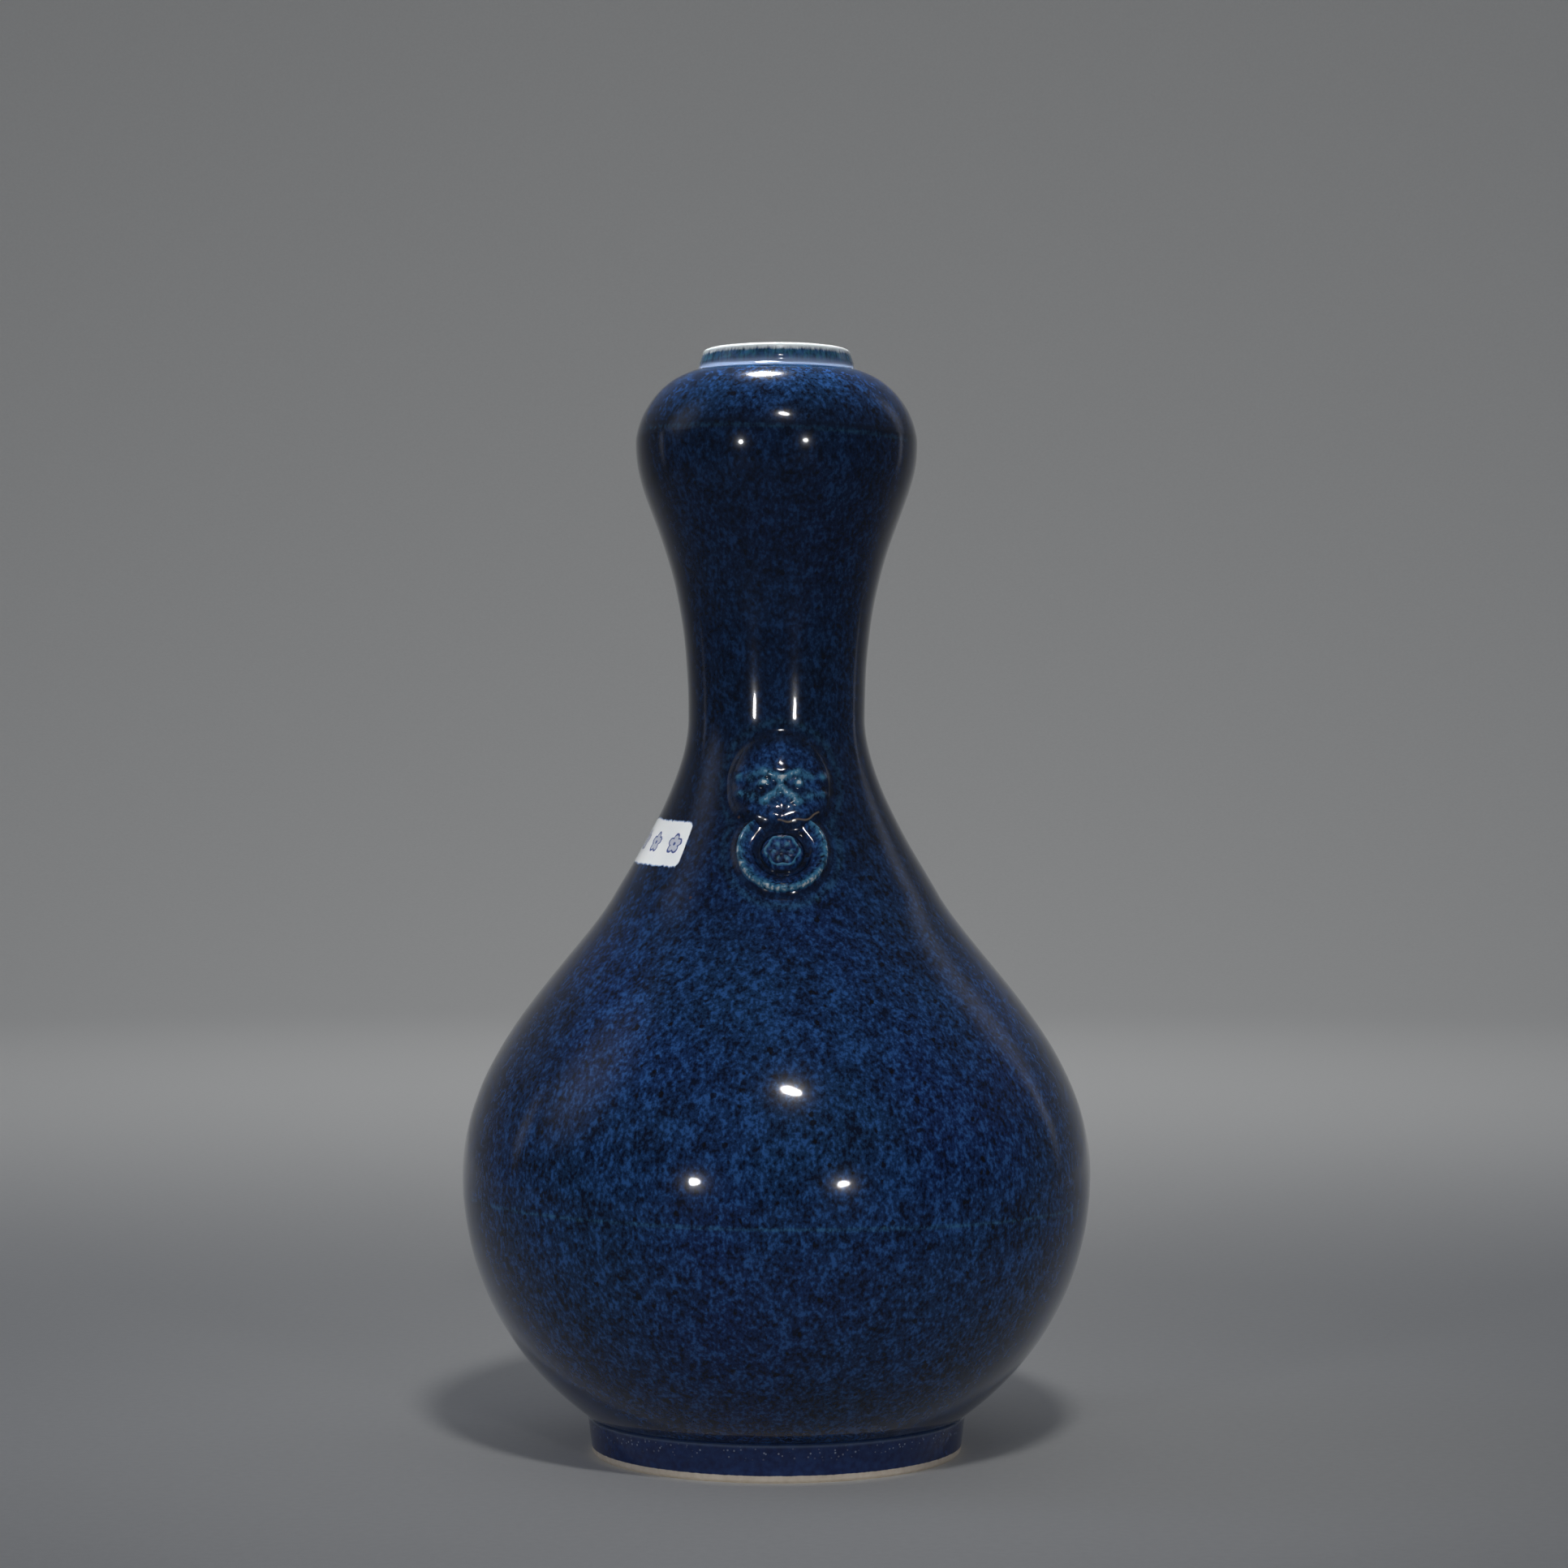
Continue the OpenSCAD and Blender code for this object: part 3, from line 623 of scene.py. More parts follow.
panel_along = panel_half_w * np.sin(np.linspace(-np.pi / 2, np.pi / 2, panel_columns))[:, None]
panel_over = np.maximum(np.abs(panel_along) - panel_half_w + panel_corner, 0)
panel_half_h = panel_h / 2 - panel_corner + np.sqrt(np.maximum(panel_corner**2 - panel_over**2, 0))
panel_draws = np.random.default_rng(8)
panel_torn_low = torn_edge(panel_draws, panel_columns)
panel_torn_high = torn_edge(panel_draws, panel_columns)
panel_share = np.concatenate([np.linspace(-1, 1, panel_rows), np.linspace(1, -1, panel_rows)])[None, :]
panel_front = np.repeat([1, 0], panel_rows)[None, :]
panel_rolled = panel_lift * np.sqrt(np.clip(1 - panel_share**8, 0, 1))
panel_off = np.where(panel_front == 1, panel_rolled, -panel_depth)
panel_ends = np.clip((panel_half_w - np.abs(panel_along)) / panel_end_w, 0, 1)
panel_off = panel_off * panel_ends - panel_depth / 2 * (1 - panel_ends)
panel_turn = -np.pi / 2 + panel_along / panel_r + 0 * panel_share
panel_edge = np.where(panel_share < 0, panel_torn_low, panel_torn_high) * panel_share**6
panel_up = (panel_half_h * panel_share + panel_tear * panel_edge) * np.where(panel_ends > 0, 1, 0)
panel_height = panel_z + panel_up - panel_tilt * panel_r * np.cos(panel_turn)
panel_points = vase_point(panel_turn, run_at(panel_height), panel_off)
panel_to_edge = np.minimum(panel_half_w - np.abs(panel_along), panel_half_h * (1 - np.abs(panel_share)))
panel = glazed_piece(
    "mark_panel_glazed", "mark_panel", "white_glaze", panel_points, panel_glaze(), False,
    along=panel_along,
    up=panel_up,
    edge=np.exp(-panel_to_edge / panel_bleed),
)


# Neck
# Slim thrown tube that opens into the lower half of the garlic head, luted over the shoulder's tongue.
# The blue glaze is painted darker here as shade, and thins to a teal line over the seam under the dome.

bulb_seam_tilt = np.tan(np.radians(2.6))
bulb_seam_w = 1
bulb_seam_thin = 0.22
bulb_seam_pool = 0.3
bulb_pool_rise = 1.8


def bulb_seam(points, rise):
    """Tilted line round the garlic head at its seam, or at a rise above it."""
    return seam_line(points, bulb_seam_z + rise, bulb_seam_tilt, bulb_seam_w)


neck_points = turned(section_outline(neck_seam_z, bulb_seam_z))
neck_inside = inside(neck_points)
# Painted shade: the neck's outer blue is drawn darker all over
glazed_piece(
    "neck_glazed", "neck", "blue_glaze", neck_points, blue_glaze, True,
    thin=np.maximum(clear_glaze * neck_inside, bulb_seam_thin * bulb_seam(neck_points, 0)),
    pool=neck_painted_shade * (1 - neck_inside) + bulb_seam_pool * bulb_seam(neck_points, bulb_pool_rise),
)


# Bulb top
# Thrown dome that closes the garlic head and carries the mouth rim in its bore.
# Blue glaze outside, with painted light that makes it paler near the rim and painted shade that darkens it
# towards the seam below, and clear white glaze inside.

rim_seat_w = 4.9
spigot_r = rim_seat_r - rim_seat_w
seat_edge = 1
seat_rings = 6
under_rings = 5
# Painted light: a paler band on the dome just outside the rim, standing in for the overhead lamp's light
dome_painted_light = 0.13
dome_light_out = 1.5
dome_light_w = 5
dome_inner = wall_line(rim_seat_z, bulb_seam_z + lap_h, 1)
dome_under_z = dome_inner[0, 1]
dome_bore_r = spigot_r + slip_gap
dome_points = turned(np.concatenate([
    wall_line(bulb_seam_z, rim_seat_z, 0),
    np.linspace((rim_seat_r - seat_edge, rim_seat_z), (dome_bore_r, rim_seat_z), seat_rings),
    np.linspace((dome_bore_r, dome_under_z), dome_inner[0], under_rings)[:-1],
    dome_inner,
    wall_line(bulb_seam_z + lap_h, bulb_seam_z, 0.5),
]))
dome_inside = inside(dome_points)
dome_out = np.hypot(dome_points[..., 0], dome_points[..., 1])
dome_light_band = dome_painted_light * bell(dome_out - rim_seat_r - dome_light_out, dome_light_w)
dome_seam = bulb_seam_thin * bulb_seam(dome_points, 0)
# Painted shade: the dome's blue is drawn darker towards its seam below
dome_painted_shade = neck_painted_shade * np.clip((rim_seat_z - dome_points[..., 2]) / (rim_seat_z - bulb_seam_z), 0, 1)
# The thin trait here carries painted light near the rim, and the pool trait painted shade towards the seam
glazed_piece(
    "bulb_top_glazed", "bulb_top", "blue_glaze", dome_points, blue_glaze, True,
    thin=np.maximum(clear_glaze * dome_inside, np.maximum(dome_light_band, dome_seam)),
    pool=dome_painted_shade * (1 - dome_inside) + bulb_seam_pool * bulb_seam(dome_points, bulb_pool_rise),
)


# Mouth rim
# Short collar with a rounded lip, thrown apart and set on the dome by its spigot. The glaze ran down off the
# lip, which shows nearly white, and gathered in dark teal streaks under it. A pale lilac painted highlight
# lies round its foot.

top_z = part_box("mouth_rim")[1].z / MM
rim_fillet = 2.3
rim_edge = 0.6
rim_skirt = 1.4
rim_skirt_lift = 0.03
rim_taper = 1
rim_wall = 3.2
rim_base_r = rim_seat_r - rim_fillet
rim_base_z = rim_seat_z + rim_edge + rim_fillet
rim_r = rim_base_r - rim_taper
mouth_r = rim_r - rim_wall
spigot_h = 3
bore_thin = 1.5
lip_thin = 1.3
lip_thin_most = 1.2
lip_fade_h = 2.6
# Painted highlight: a lilac glare round the collar's foot, standing in for the overhead lamp's light there
haze_z = rim_seat_z + 0.8
haze_w = 1.5
haze_strength = 0.7


def rim_glaze():
    """Cobalt glaze that ran off an edge in firing: bluish white on the lip, then streaks of dark teal that
    follow the run of the glaze, a lilac painted highlight round the collar's foot, and glossy all over."""
    streak_mm = 1.1
    streak_stretch = 0.1
    grain_mm = 1.5
    skin_mm = 0.04
    dark_teal = linear("16364d")
    light_teal = linear("2d6478")
    blue_grain = linear("3d6db4")
    lilac_haze = linear("a3b2d2")
    lip_white = linear("e9f0f1")
    material, tree = empty_material("run_cobalt_glaze")
    place = add(tree, "TexCoord", {}).outputs["Object"]
    thin = add(tree, "Attribute", {}, attribute_name="thin").outputs["Fac"]
    haze = add(tree, "Attribute", {}, attribute_name="haze").outputs["Fac"]
    drawn = add(tree, "Mapping", {"Vector": place, "Scale": (1, 1, streak_stretch)})
    streak = add(tree, "TexNoise", {"Vector": drawn, "Scale": 1 / (streak_mm * MM), "Detail": 2})
    grain = add(tree, "TexNoise", {"Vector": place, "Scale": 1 / (grain_mm * MM), "Detail": 2})
    streaked = add(tree, "MapRange", {0: streak, 1: 0.35, 2: 0.66}, interpolation_type="SMOOTHSTEP")
    teal = add(tree, "Mix", {0: streaked, 6: dark_teal, 7: light_teal}, data_type="RGBA")
    sown = add(tree, "MapRange", {0: grain, 1: 0.4, 2: 0.7, 3: 0, 4: 0.35})
    grained = add(tree, "Mix", {0: sown, 6: teal, 7: blue_grain}, data_type="RGBA")
    run_down = add(tree, "Math", {0: streak, 1: 0.7, 2: -0.35}, operation="MULTIPLY_ADD")
    ragged = add(tree, "Math", {0: thin, 1: run_down}, operation="ADD")
    paled = add(tree, "MapRange", {0: ragged, 1: 0.3, 2: 0.85}, interpolation_type="SMOOTHSTEP")
    # Painted highlight: the lilac glare is mixed into the colour here
    hazed = add(tree, "Mix", {0: haze, 6: grained, 7: lilac_haze}, data_type="RGBA")
    colour = add(tree, "Mix", {0: paled, 6: hazed, 7: lip_white}, data_type="RGBA")
    bump = add(tree, "Bump", {"Height": streak, "Distance": skin_mm * MM, "Strength": 0.4})
    glass = add(tree, "BsdfPrincipled", {
        "Base Color": colour, "Roughness": 0.06, "IOR": 1.5, "Normal": bump})
    add(tree, "OutputMaterial", {"Surface": glass})
    return material


def arc(centre, radius, first, last, count):
    """Points of an arc from one angle in degrees to another."""
    angle = np.radians(np.linspace(first, last, count))
    return np.stack([centre[0] + radius * np.cos(angle), centre[1] + radius * np.sin(angle)], axis=1)


lip_r = rim_wall / 2
lip_z = top_z - lip_r
skirt_end = wall_at(run_at(rim_seat_z) - rim_skirt, rim_skirt_lift)
rim_outline = np.concatenate([
    pulled_curve(skirt_end, stride(rim_fillet, 165), stride(rim_fillet, 90), (rim_base_r, rim_base_z), 24),
    np.linspace((rim_base_r, rim_base_z), (rim_r, lip_z), 10)[1:-1],
    arc((rim_r - lip_r, lip_z), lip_r, 0, 180, 30),
    np.linspace((mouth_r, lip_z), (mouth_r, rim_seat_z - spigot_h), 16)[1:],
    np.array([(spigot_r, rim_seat_z - spigot_h), (spigot_r, rim_seat_z), (rim_seat_r, rim_seat_z)]),
])
rim_points = turned(rim_outline)
rim_drop = top_z - rim_points[..., 2]
rim_bore = np.hypot(rim_points[..., 0], rim_points[..., 1]) < rim_r - lip_r
rim_lip = np.clip(lip_thin - rim_drop / lip_fade_h, 0, lip_thin_most)
glazed_piece(
    "mouth_rim_glazed", "mouth_rim", "rim_glaze", rim_points, rim_glaze(), True,
    thin=np.where(rim_bore, bore_thin, rim_lip),
    haze=haze_strength * bell(rim_points[..., 2] - haze_z, haze_w),
)


# Masks
# Beast masks pressed in a mould and luted to the wall front and back, a domed face with slanting brows that
# meet at the nose. Glaze thinned on the brows, eyes and nose, pooled in the hollows and round the edge, and
# cracked along the front mask's jaw. Painted shade darkens the whole mask a little, as on the neck.

mask_h = 3.2
relief_edge = 0.8
relief_sink = 0.25
skirt_w = 3.2
skirt_sink = 0.08
mask_columns = 288
wear_marks = 220
wear_reach = 17
wear_depth = 0.07
crack_from = -96
crack_to = -38
crack_in = 0.9
crack_sway = 0.35
crack_wave = 4
crack_w = 0.23
crack_strength = 0.8


def hill(p, q, place, spread):
    """Rounded hill of height 1 at a place, falling away over a spread."""
    return np.exp(-((p - place[0]) ** 2 + (q - place[1]) ** 2) / spread**2)


def ridge(p, q, start, end, spread):
    """Rounded ridge of height 1 from one place to another: a hill at the nearest point of the line."""
    way = np.subtract(end, start)
    share = np.clip(((p - start[0]) * way[0] + (q - start[1]) * way[1]) / np.dot(way, way), 0, 1)
    return hill(p, q, (start[0] + share * way[0], start[1] + share * way[1]), spread)


def relief_rows(rings, skirt_rows, back_rows):
    """Rows of a relief, from its middle out to its edge, over the pooled glaze, and back in behind it.
    Each row has its share of the way to the edge, its share of the way over the skirt, and 1 if behind."""
    skirt = np.arange(1, skirt_rows + 1) / skirt_rows
    back = np.linspace(1, 0, back_rows)
    share = np.concatenate([np.linspace(0, 1, rings), np.ones(skirt_rows), back])
    over = np.concatenate([np.zeros(rings), skirt, back])
    behind = np.concatenate([np.zeros(rings + skirt_rows), np.ones(back_rows)])
    return share[:, None], over[:, None], behind[:, None]


def relief_lift(relief, over, behind):
    """Height of a relief over the wall: its face on its edge, its skirt falling by a square into the wall's
    glaze, and its back sunk a little into the wall."""
    front = (slip_gap + relief_edge + relief) * (1 - over) ** 2 - skirt_sink * over
    return np.where(behind == 1, -relief_sink, front)


def laid_on_wall(around, run, lift, half_turns):
    """Points at a distance round the wall from the front, or the back, and a length along its outline."""
    return vase_point(around / wall_at(run, 0)[0] + np.pi * half_turns, run, lift)


mask_share, mask_over, mask_behind = relief_rows(rings=90, skirt_rows=18, back_rows=16)
mask_way = np.linspace(0, 2 * np.pi, mask_columns, endpoint=False)[None, :]
mask_edge = mask_reach(mask_way)
mask_out = mask_share * mask_edge + skirt_w * mask_over
mask_x = mask_out * np.cos(mask_way)
mask_y = mask_out * np.sin(mask_way)

# The face is drawn on its right half, in shares of the mask's half width and of its height up or down
face_x = np.abs(mask_share * mask_edge * np.cos(mask_way)) / (mask_w / 2)
face_y = mask_share * mask_edge * np.sin(mask_way)
face_y = face_y / np.where(face_y >= 0, mask_up, mask_down)
inner_brow = ridge(face_x, face_y, (0, 0.11), (0.33, 0.25), 0.075)
outer_brow = ridge(face_x, face_y, (0.33, 0.25), (0.62, 0.14), 0.09)
brow = np.maximum(inner_brow, 0.5 * outer_brow)
forehead = hill(face_x, face_y, (0, 0.45), 0.4)
socket = hill(face_x, face_y, (0.34, 0), 0.22)
eye = hill(face_x, face_y, (0.34, 0.02), 0.12)
eye_bag = hill(face_x, face_y, (0.24, -0.1), 0.13) + hill(face_x, face_y, (0.42, -0.16), 0.12)
nose = ridge(face_x, face_y, (0, 0.1), (0, -0.12), 0.07)
muzzle = ridge(face_x, face_y, (0, -0.1), (0.34, -0.44), 0.09)
nostril = hill(face_x, face_y, (0.13, -0.4), 0.09)
cheek = hill(face_x, face_y, (0.58, -0.3), 0.15)
curl = hill(face_x, face_y, (0.86, 0.17), 0.1) + hill(face_x, face_y, (0.84, -0.24), 0.1)
jaw = ridge(face_x, face_y, (0, -0.92), (0.5, -0.72), 0.22)
mask_relief = mask_h * (
    0.62 * (1 - mask_share**2.5)
    + 0.2 * forehead
    + 0.3 * brow - 0.3 * socket + 0.5 * eye
    + 0.25 * nose + 0.2 * muzzle + 0.3 * nostril + 0.18 * cheek + 0.2 * curl + 0.3 * jaw
)
mask_mottle = 0 * mask_relief
mould_wear = np.random.default_rng(5)
for _ in range(wear_marks):
    worn_place = mould_wear.uniform(-wear_reach, wear_reach, 2)
    worn_by = mould_wear.uniform(-1, 1)
    mask_mottle += worn_by * hill(mask_x, mask_y, worn_place, mould_wear.uniform(0.8, 2.2))
mask_relief += wear_depth * mask_mottle
mask_lift = relief_lift(mask_relief, mask_over, mask_behind)
eye_pale = np.where(mask_x < 0, 1.5, 1.0) * eye**3 * (1 + 0.5 * mask_mottle)
mask_pale = eye_pale + 0.36 * brow + 0.3 * nose + 0.38 * muzzle + 0.3 * curl + 0.2 * cheek
mask_pale = mask_pale * (1 + 0.3 * mask_mottle) + 0.09 * (1 - mask_share**4) + 0.04 * mask_mottle
mask_thin = np.clip(mask_pale, 0, 1.2)
mask_rim = np.clip((mask_share - 0.8) / 0.2, 0, 1) * np.clip((1 - mask_over) / 0.5, 0, 1)
# Pooled glaze at the mask's edge and under its eyes, and painted shade over the whole mask as on the neck
mask_pool = np.clip(0.9 * mask_rim + eye_bag + 0.5 * neck_painted_shade, 0, 1) * (1 - np.clip(2.2 * mask_thin, 0, 1))
crack_way = np.degrees(np.arctan2(mask_y, mask_x))
crack_here = (crack_way > crack_from) & (crack_way < crack_to) & (mask_over == 0) & (mask_behind == 0)
crack_off = mask_share * mask_edge - mask_edge + crack_in + crack_sway * np.sin(crack_way / crack_wave)
for half_turns, side in enumerate(("front", "back")):
    glazed_piece(
        f"{side}_mask_glazed", f"{side}_mask", "sprig_glaze",
        laid_on_wall(mask_x, mask_run + mask_y, mask_lift, half_turns), blue_glaze, False,
        thin=mask_thin * (1 - mask_over),
        pool=mask_pool,
        rust=(1 - half_turns) * crack_strength * crack_here * bell(crack_off, crack_w),
    )


# Rings
# Open band moulded in relief that hangs from each mask's jaw, fixed to the wall, with its crest near its
# outer edge. The glaze left the crest pale and streaked, and lies dark on both sides of it.

ring_h = 2
ring_band = 5.5
crest_lean = 2.6
ring_columns = 421
band_rows = 41
ease_rows = 9
ring_back_rows = 11
jaw_overlap = 0.06
fall_from = 0.86
fall_by = 0.7
jaw_angles = np.linspace(np.pi / 2, np.pi, 2000)
jaw_across = ring_r * np.sin(jaw_angles)
jaw_along = ring_run - ring_r * np.cos(jaw_angles) - mask_run
jaw_clear = np.hypot(jaw_across, jaw_along) > mask_reach(np.arctan2(jaw_along, jaw_across))
ring_end = jaw_angles[jaw_clear].max() + jaw_overlap
ring_step = np.linspace(-1, 1, ring_columns)[:, None]
ring_angle = ring_end * ring_step

# Across the band: up the inner skirt, over the band, down the outer skirt, and back behind
ring_share = np.linspace(0, 1, band_rows)
ring_ease = np.linspace(1 / ease_rows, 1, ease_rows)
ring_flat = np.zeros(ease_rows)
inner_skirt = -0.5 * skirt_w * ring_ease[::-1]
outer_skirt = ring_band + skirt_w * ring_ease
ring_back = np.linspace(outer_skirt[-1], inner_skirt[0], ring_back_rows)
ring_pos = np.concatenate([inner_skirt, ring_band * ring_share, outer_skirt, ring_back])[None, :]
ring_over = np.concatenate([ring_ease[::-1], 0 * ring_share, ring_ease, np.ones(ring_back_rows)])[None, :]
ring_dome = np.sin(np.pi * ring_share**crest_lean)
ring_crest = np.concatenate([ring_flat, ring_dome, ring_flat, np.zeros(ring_back_rows)])[None, :]
ring_behind = np.repeat([0, 1], [band_rows + 2 * ease_rows, ring_back_rows])[None, :]
ring_fall = 1 - fall_by * np.clip((np.abs(ring_step) - fall_from) / (1 - fall_from), 0, 1) ** 1.5
ring_lift = relief_lift(0, ring_over, ring_behind) + ring_h * ring_crest * ring_fall

# Both ends of the band are shut to a point in the middle of it
ring_shut = np.where(np.abs(ring_step) == 1, 0, 1)
ring_lift = ring_lift * ring_shut
ring_distance = ring_r - ring_band + ring_pos * ring_shut + ring_band / 2 * (1 - ring_shut)
ring_around = ring_distance * np.sin(ring_angle)
ring_along = ring_run - ring_distance * np.cos(ring_angle)
ring_runs = np.convolve(np.random.default_rng(3).normal(size=ring_columns), np.hanning(9), "same")[:, None]
ring_streak = np.clip(0.95 + 0.14 * ring_runs, 0.35, 1.45)
ring_place = ring_pos / ring_band
ring_pale = np.interp(ring_place, [0, 0.2, 0.5, 0.75, 0.92, 1.03], [0, 0.07, 0.16, 0.38, 0.64, 0])
ring_pool = np.interp(ring_place, [-0.2, 0, 0.3, 0.98, 1.06, 1.3], [0.9, 0.8, 0, 0, 1, 0.9])
for half_turns, side in enumerate(("front", "back")):
    glazed_piece(
        f"{side}_ring_glazed", f"{side}_ring", "sprig_glaze",
        laid_on_wall(ring_around, ring_along, ring_lift, half_turns), blue_glaze, False,
        thin=ring_pale * ring_streak * ring_fall * (1 - ring_behind),
        pool=ring_pool,
    )


# Bosses
# Small flower moulded in relief inside each ring: a raised rim round six petals and an eye.
# The glaze is pale on its rim and petals, and dark between them.

boss_r = 6.3
boss_h = 1.4
boss_columns = 144
boss_petals = 6
boss_rim_at = 0.83
boss_rim_w = 0.12
boss_scallop = 0.06
boss_petal_at = 0.44
boss_petal_w = 0.2
boss_eye_w = 0.14
boss_share, boss_over, boss_behind = relief_rows(rings=48, skirt_rows=10, back_rows=8)
boss_way = np.linspace(0, 2 * np.pi, boss_columns, endpoint=False)[None, :]
boss_wave = np.cos(boss_petals * boss_way)
boss_rim = bell(boss_share - boss_rim_at - boss_scallop * boss_wave, boss_rim_w)
boss_petal = (1 + boss_wave) / 2 * bell(boss_share - boss_petal_at, boss_petal_w)
boss_eye = bell(boss_share, boss_eye_w)
boss_relief = boss_h * (0.8 * boss_rim + 0.6 * boss_petal + 0.5 * boss_eye + 0.25 * (1 - boss_share))
boss_lift = relief_lift(boss_relief, boss_over, boss_behind)
boss_out = boss_r * boss_share + 0.5 * skirt_w * boss_over
boss_around = boss_out * np.cos(boss_way)
boss_along = ring_run + boss_out * np.sin(boss_way)
for half_turns, side in enumerate(("front", "back")):
    glazed_piece(
        f"{side}_boss_glazed", f"{side}_boss", "sprig_glaze",
        laid_on_wall(boss_around, boss_along, boss_lift, half_turns), blue_glaze, False,
        thin=(0.4 * boss_rim**2 + 0.4 * boss_petal + 0.3 * boss_eye) * (1 - boss_over),
        pool=np.clip(0.5 - boss_rim - boss_petal, 0, 1) + np.clip(boss_over * 2, 0, 0.9),
    )


# Studio
# Pale seamless paper that sweeps up round the vase, small lamps where the photograph's glints put them, cloth
# softboxes for its wide sheens and for the paper behind, and a level camera at the height of the neck.
# Lengths here are in metres, but the lens and the camera's frame are in millimetres.

camera_turn = np.radians(-2.4)
camera_back = 1.2467
camera_high = 0.224
camera_aside = 0.0025
camera_lens = 85
camera_frame_w = 36
floor_middle_r = 0.001
floor_flat_r = 2.4
floor_sweep_r = 1.6
floor_rows = 20
sweep_rows = 40
floor_columns = 128
air_grey = linear("5a5c60")
air_strength = 1.15


def seen_from_camera(aside, back, high):
    """Place given to the camera's right, towards the camera, and up from the floor, in metres."""
    right = Vector((np.cos(camera_turn), np.sin(camera_turn), 0))
    towards = Vector((np.sin(camera_turn), -np.cos(camera_turn), 0))
    return right * aside + towards * back + Vector((0, 0, high))


def paper_floor():
    """Matt pale grey paper. Its fibres are a faint mottle, drawn coarser than real ones so that they show."""
    fibre_mm = 3
    dark_paper = linear("dededc")
    light_paper = linear("e8e8e6")
    material, tree = empty_material("pale_studio_paper")
    place = add(tree, "TexCoord", {}).outputs["Object"]
    fibre = add(tree, "TexNoise", {"Vector": place, "Scale": 1 / (fibre_mm * MM), "Detail": 3})
    colour = add(tree, "Mix", {0: fibre, 6: dark_paper, 7: light_paper}, data_type="RGBA")
    paper = add(tree, "BsdfPrincipled", {"Base Color": colour, "Roughness": 0.85})
    add(tree, "OutputMaterial", {"Surface": paper})
    return material


floor_flat = np.linspace((floor_middle_r, 0), (floor_flat_r, 0), floor_rows)[:-1]
floor_sweep = arc((floor_flat_r, floor_sweep_r), floor_sweep_r, 270, 355, sweep_rows)
floor_line = np.concatenate([floor_flat, floor_sweep])
floor_turn = np.linspace(0, 2 * np.pi, floor_columns, endpoint=False)[None, :]
floor_x = floor_line[:, :1] * np.cos(floor_turn)
floor_y = floor_line[:, :1] * np.sin(floor_turn)
floor_points = np.stack(np.broadcast_arrays(floor_x, floor_y, floor_line[:, 1:]), axis=-1)
floor_faces = grid_faces(len(floor_line), floor_columns, False)
floor_mesh = bpy.data.meshes.new("studio_floor")
floor_mesh.from_pydata(floor_points.reshape(-1, 3), [], floor_faces)
floor_mesh.shade_smooth()
floor_mesh.materials.append(paper_floor())
floor = bpy.data.objects.new("studio_floor", floor_mesh)
bpy.context.scene.collection.objects.link(floor)

vase_middle = (0, 0, 0.18)
vase_head = (0, 0, 0.36)
backdrop_foot = (0, -2.4, 0.3)

# Each lamp has a place and an aim as seen from the camera, width, height, roll and spread in degrees, watts
lamp_heads = {
    "overhead_lamp": ((-0.03, -0.11, 0.7), vase_head, 0.09, 0.09, 0, 14, 0.055),
    "front_lamp": ((0.103, 0.891, 1.017), vase_middle, 0.16, 0.085, -25, 36, 0.136),
    "left_lamp": ((-0.9, 1.66, 0.27), vase_middle, 0.12, 0.1, 0, 60, 0.3),
    "right_lamp": ((0.85, 1.98, 0.29), vase_middle, 0.15, 0.1, 0, 60, 0.34),
    "panel_lamp": ((-0.8, 0.5, 0.35), vase_middle, 0.1, 0.1, 0, 60, 0.34),
}
softboxes = {
    "left_softbox": ((-1.3, 0.05, 0.95), vase_middle, 1.1, 1.6, 0, 180, 3.6),
    "right_softbox": ((1.1, -0.75, 0.95), vase_middle, 0.6, 1.2, 0, 180, 0.95),
    "left_strip": ((-1.25, -0.36, 0.4), vase_middle, 0.22, 0.8, 0, 180, 0.28),
    "right_strip": ((1.12, -0.66, 0.4), vase_middle, 0.22, 0.8, 0, 180, 0.28),
    "back_softbox": ((0, -0.9, 1.7), backdrop_foot, 1.4, 1.4, 0, 130, 28),
}
flagged = {"overhead_lamp": vase, "panel_lamp": [panel]}
cool_cloth = linear("dde6ff")
white_cloth = linear("ffffff")


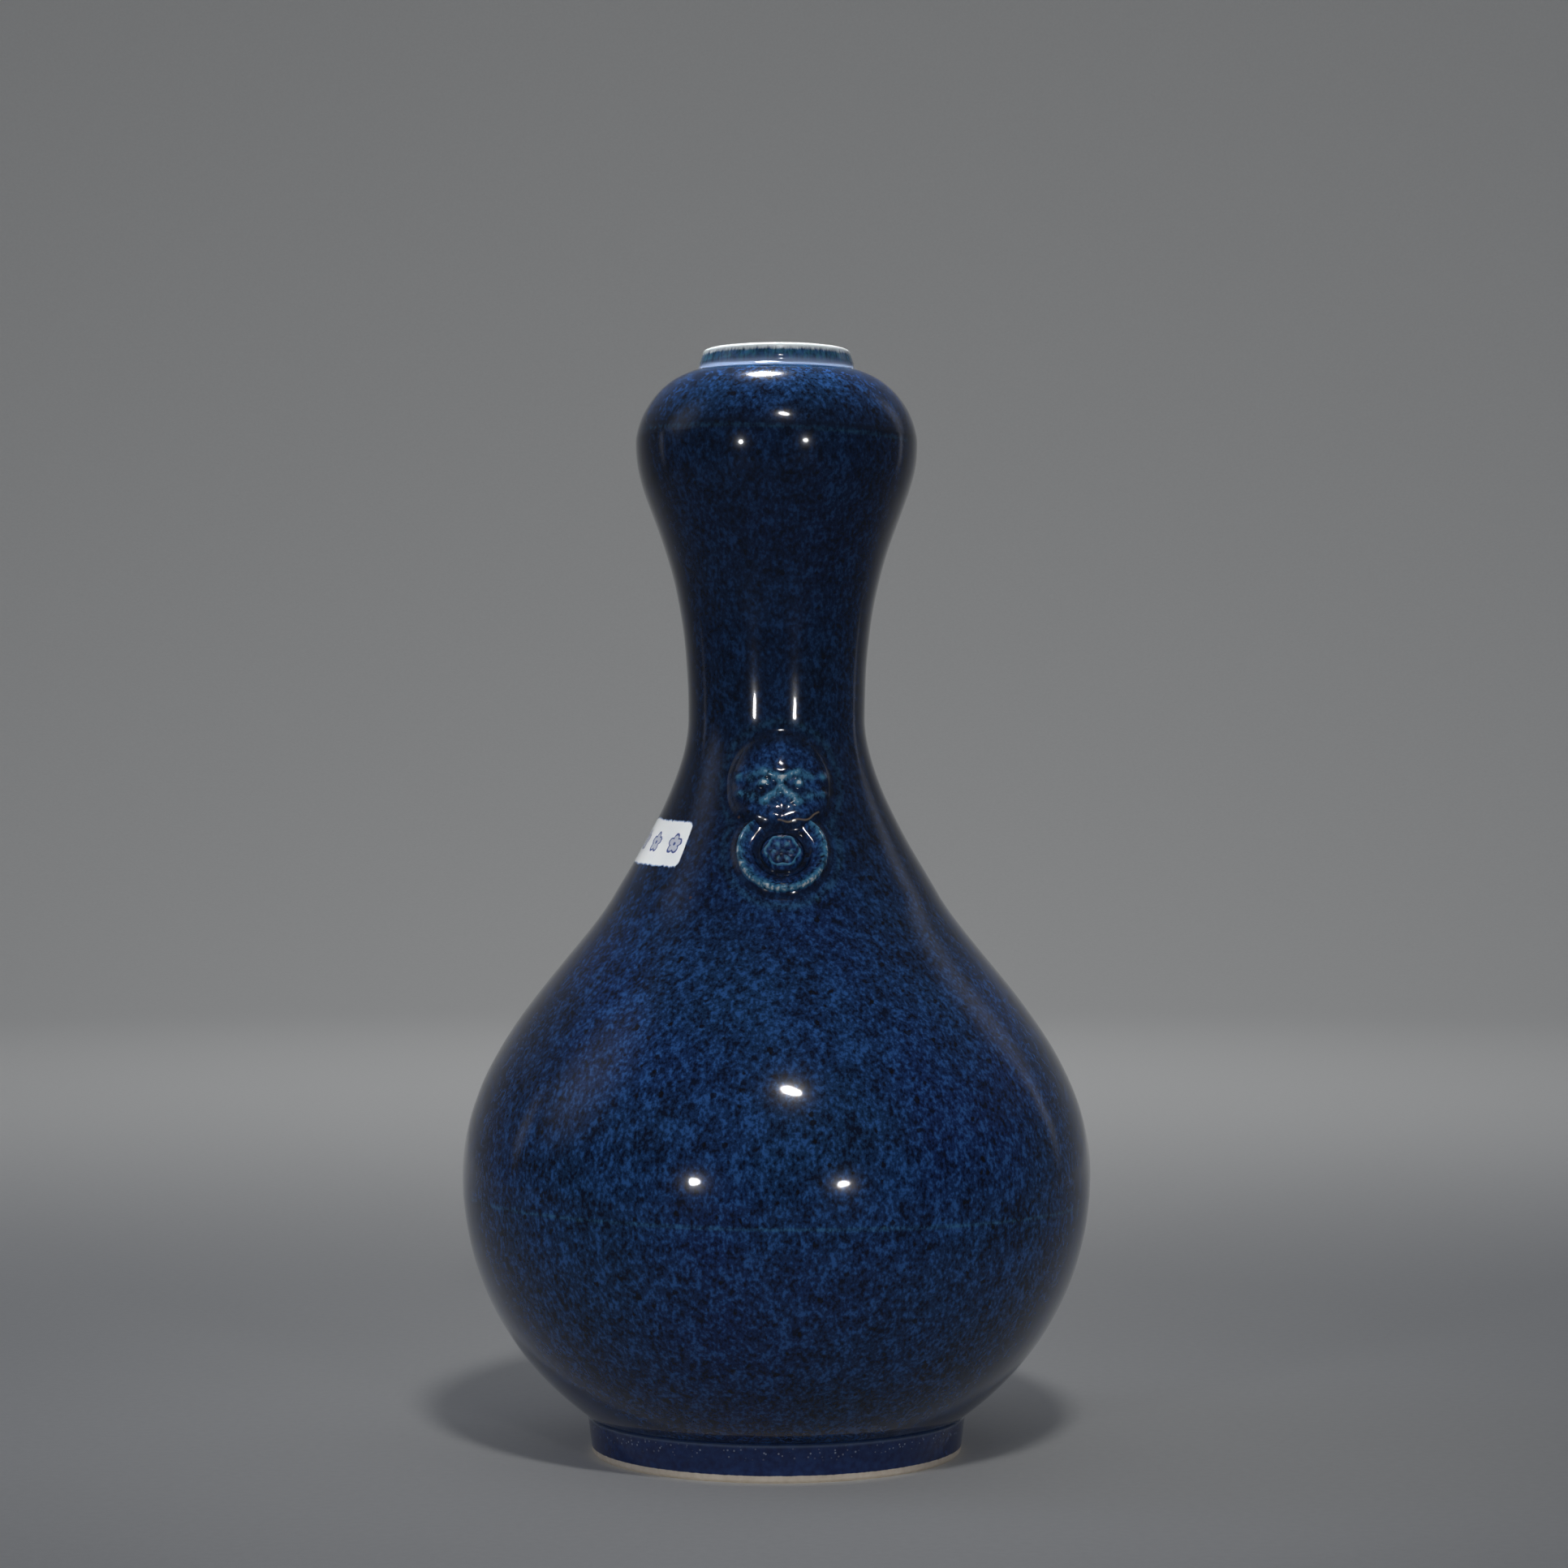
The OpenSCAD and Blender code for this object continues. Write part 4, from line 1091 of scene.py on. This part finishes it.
def add_lamp(name, shape, place, aim, width, height, roll, spread, watts):
    """Area light at a place, turned to its aim and rolled about that line, out of the camera's sight."""
    light = bpy.data.lights.new(name, "AREA")
    light.shape = shape
    light.size = width
    light.size_y = height
    light.spread = np.radians(spread)
    light.energy = watts
    lamp = bpy.data.objects.new(name, light)
    lamp.location = seen_from_camera(*place)
    turned_to_aim = (seen_from_camera(*aim) - lamp.location).to_track_quat("-Z", "Y")
    lamp.rotation_euler = (turned_to_aim @ Quaternion((0, 0, 1), np.radians(roll))).to_euler()
    lamp.visible_camera = False
    bpy.context.scene.collection.objects.link(lamp)
    return lamp


# A flagged lamp lights only the pieces that it is meant for, and leaves the paper dark
for name, settings in lamp_heads.items():
    lamp = add_lamp(name, "ELLIPSE", *settings)
    if name in flagged:
        lamp.light_linking.receiver_collection = bpy.data.collections.new(f"lit_by_{name}")
        for piece in flagged[name]:
            lamp.light_linking.receiver_collection.objects.link(piece)

# A softbox is brightest in the middle of its cloth and fades to its edges
for name, settings in softboxes.items():
    box = add_lamp(name, "RECTANGLE", *settings).data
    box.color = (white_cloth if name == "back_softbox" else cool_cloth)[:3]
    box.use_nodes = True
    cloth = box.node_tree
    across_cloth = add(cloth, "NewGeometry", {}).outputs["Parametric"]
    off_middle = add(cloth, "VectorMath", {0: across_cloth, 1: (0.5, 0.5, 0)}, operation="DISTANCE")
    fade = add(cloth, "MapRange", {0: off_middle, 1: 0, 2: 0.5, 3: 1, 4: 0}, interpolation_type="SMOOTHSTEP")
    cloth.links.new(fade.outputs[0], cloth.nodes["Emission"].inputs["Strength"])

world = bpy.data.worlds.new("studio_air")
world.use_nodes = True
world.node_tree.nodes["Background"].inputs["Color"].default_value = air_grey
world.node_tree.nodes["Background"].inputs["Strength"].default_value = air_strength
bpy.context.scene.world = world

camera_data = bpy.data.cameras.new("camera")
camera_data.lens = camera_lens
camera_data.sensor_width = camera_frame_w
camera = bpy.data.objects.new("camera", camera_data)
camera.location = seen_from_camera(camera_aside, camera_back, camera_high)
camera.rotation_euler = (np.pi / 2, 0, camera_turn)
bpy.context.scene.collection.objects.link(camera)
bpy.context.scene.camera = camera
bpy.context.scene.view_settings.view_transform = "Standard"
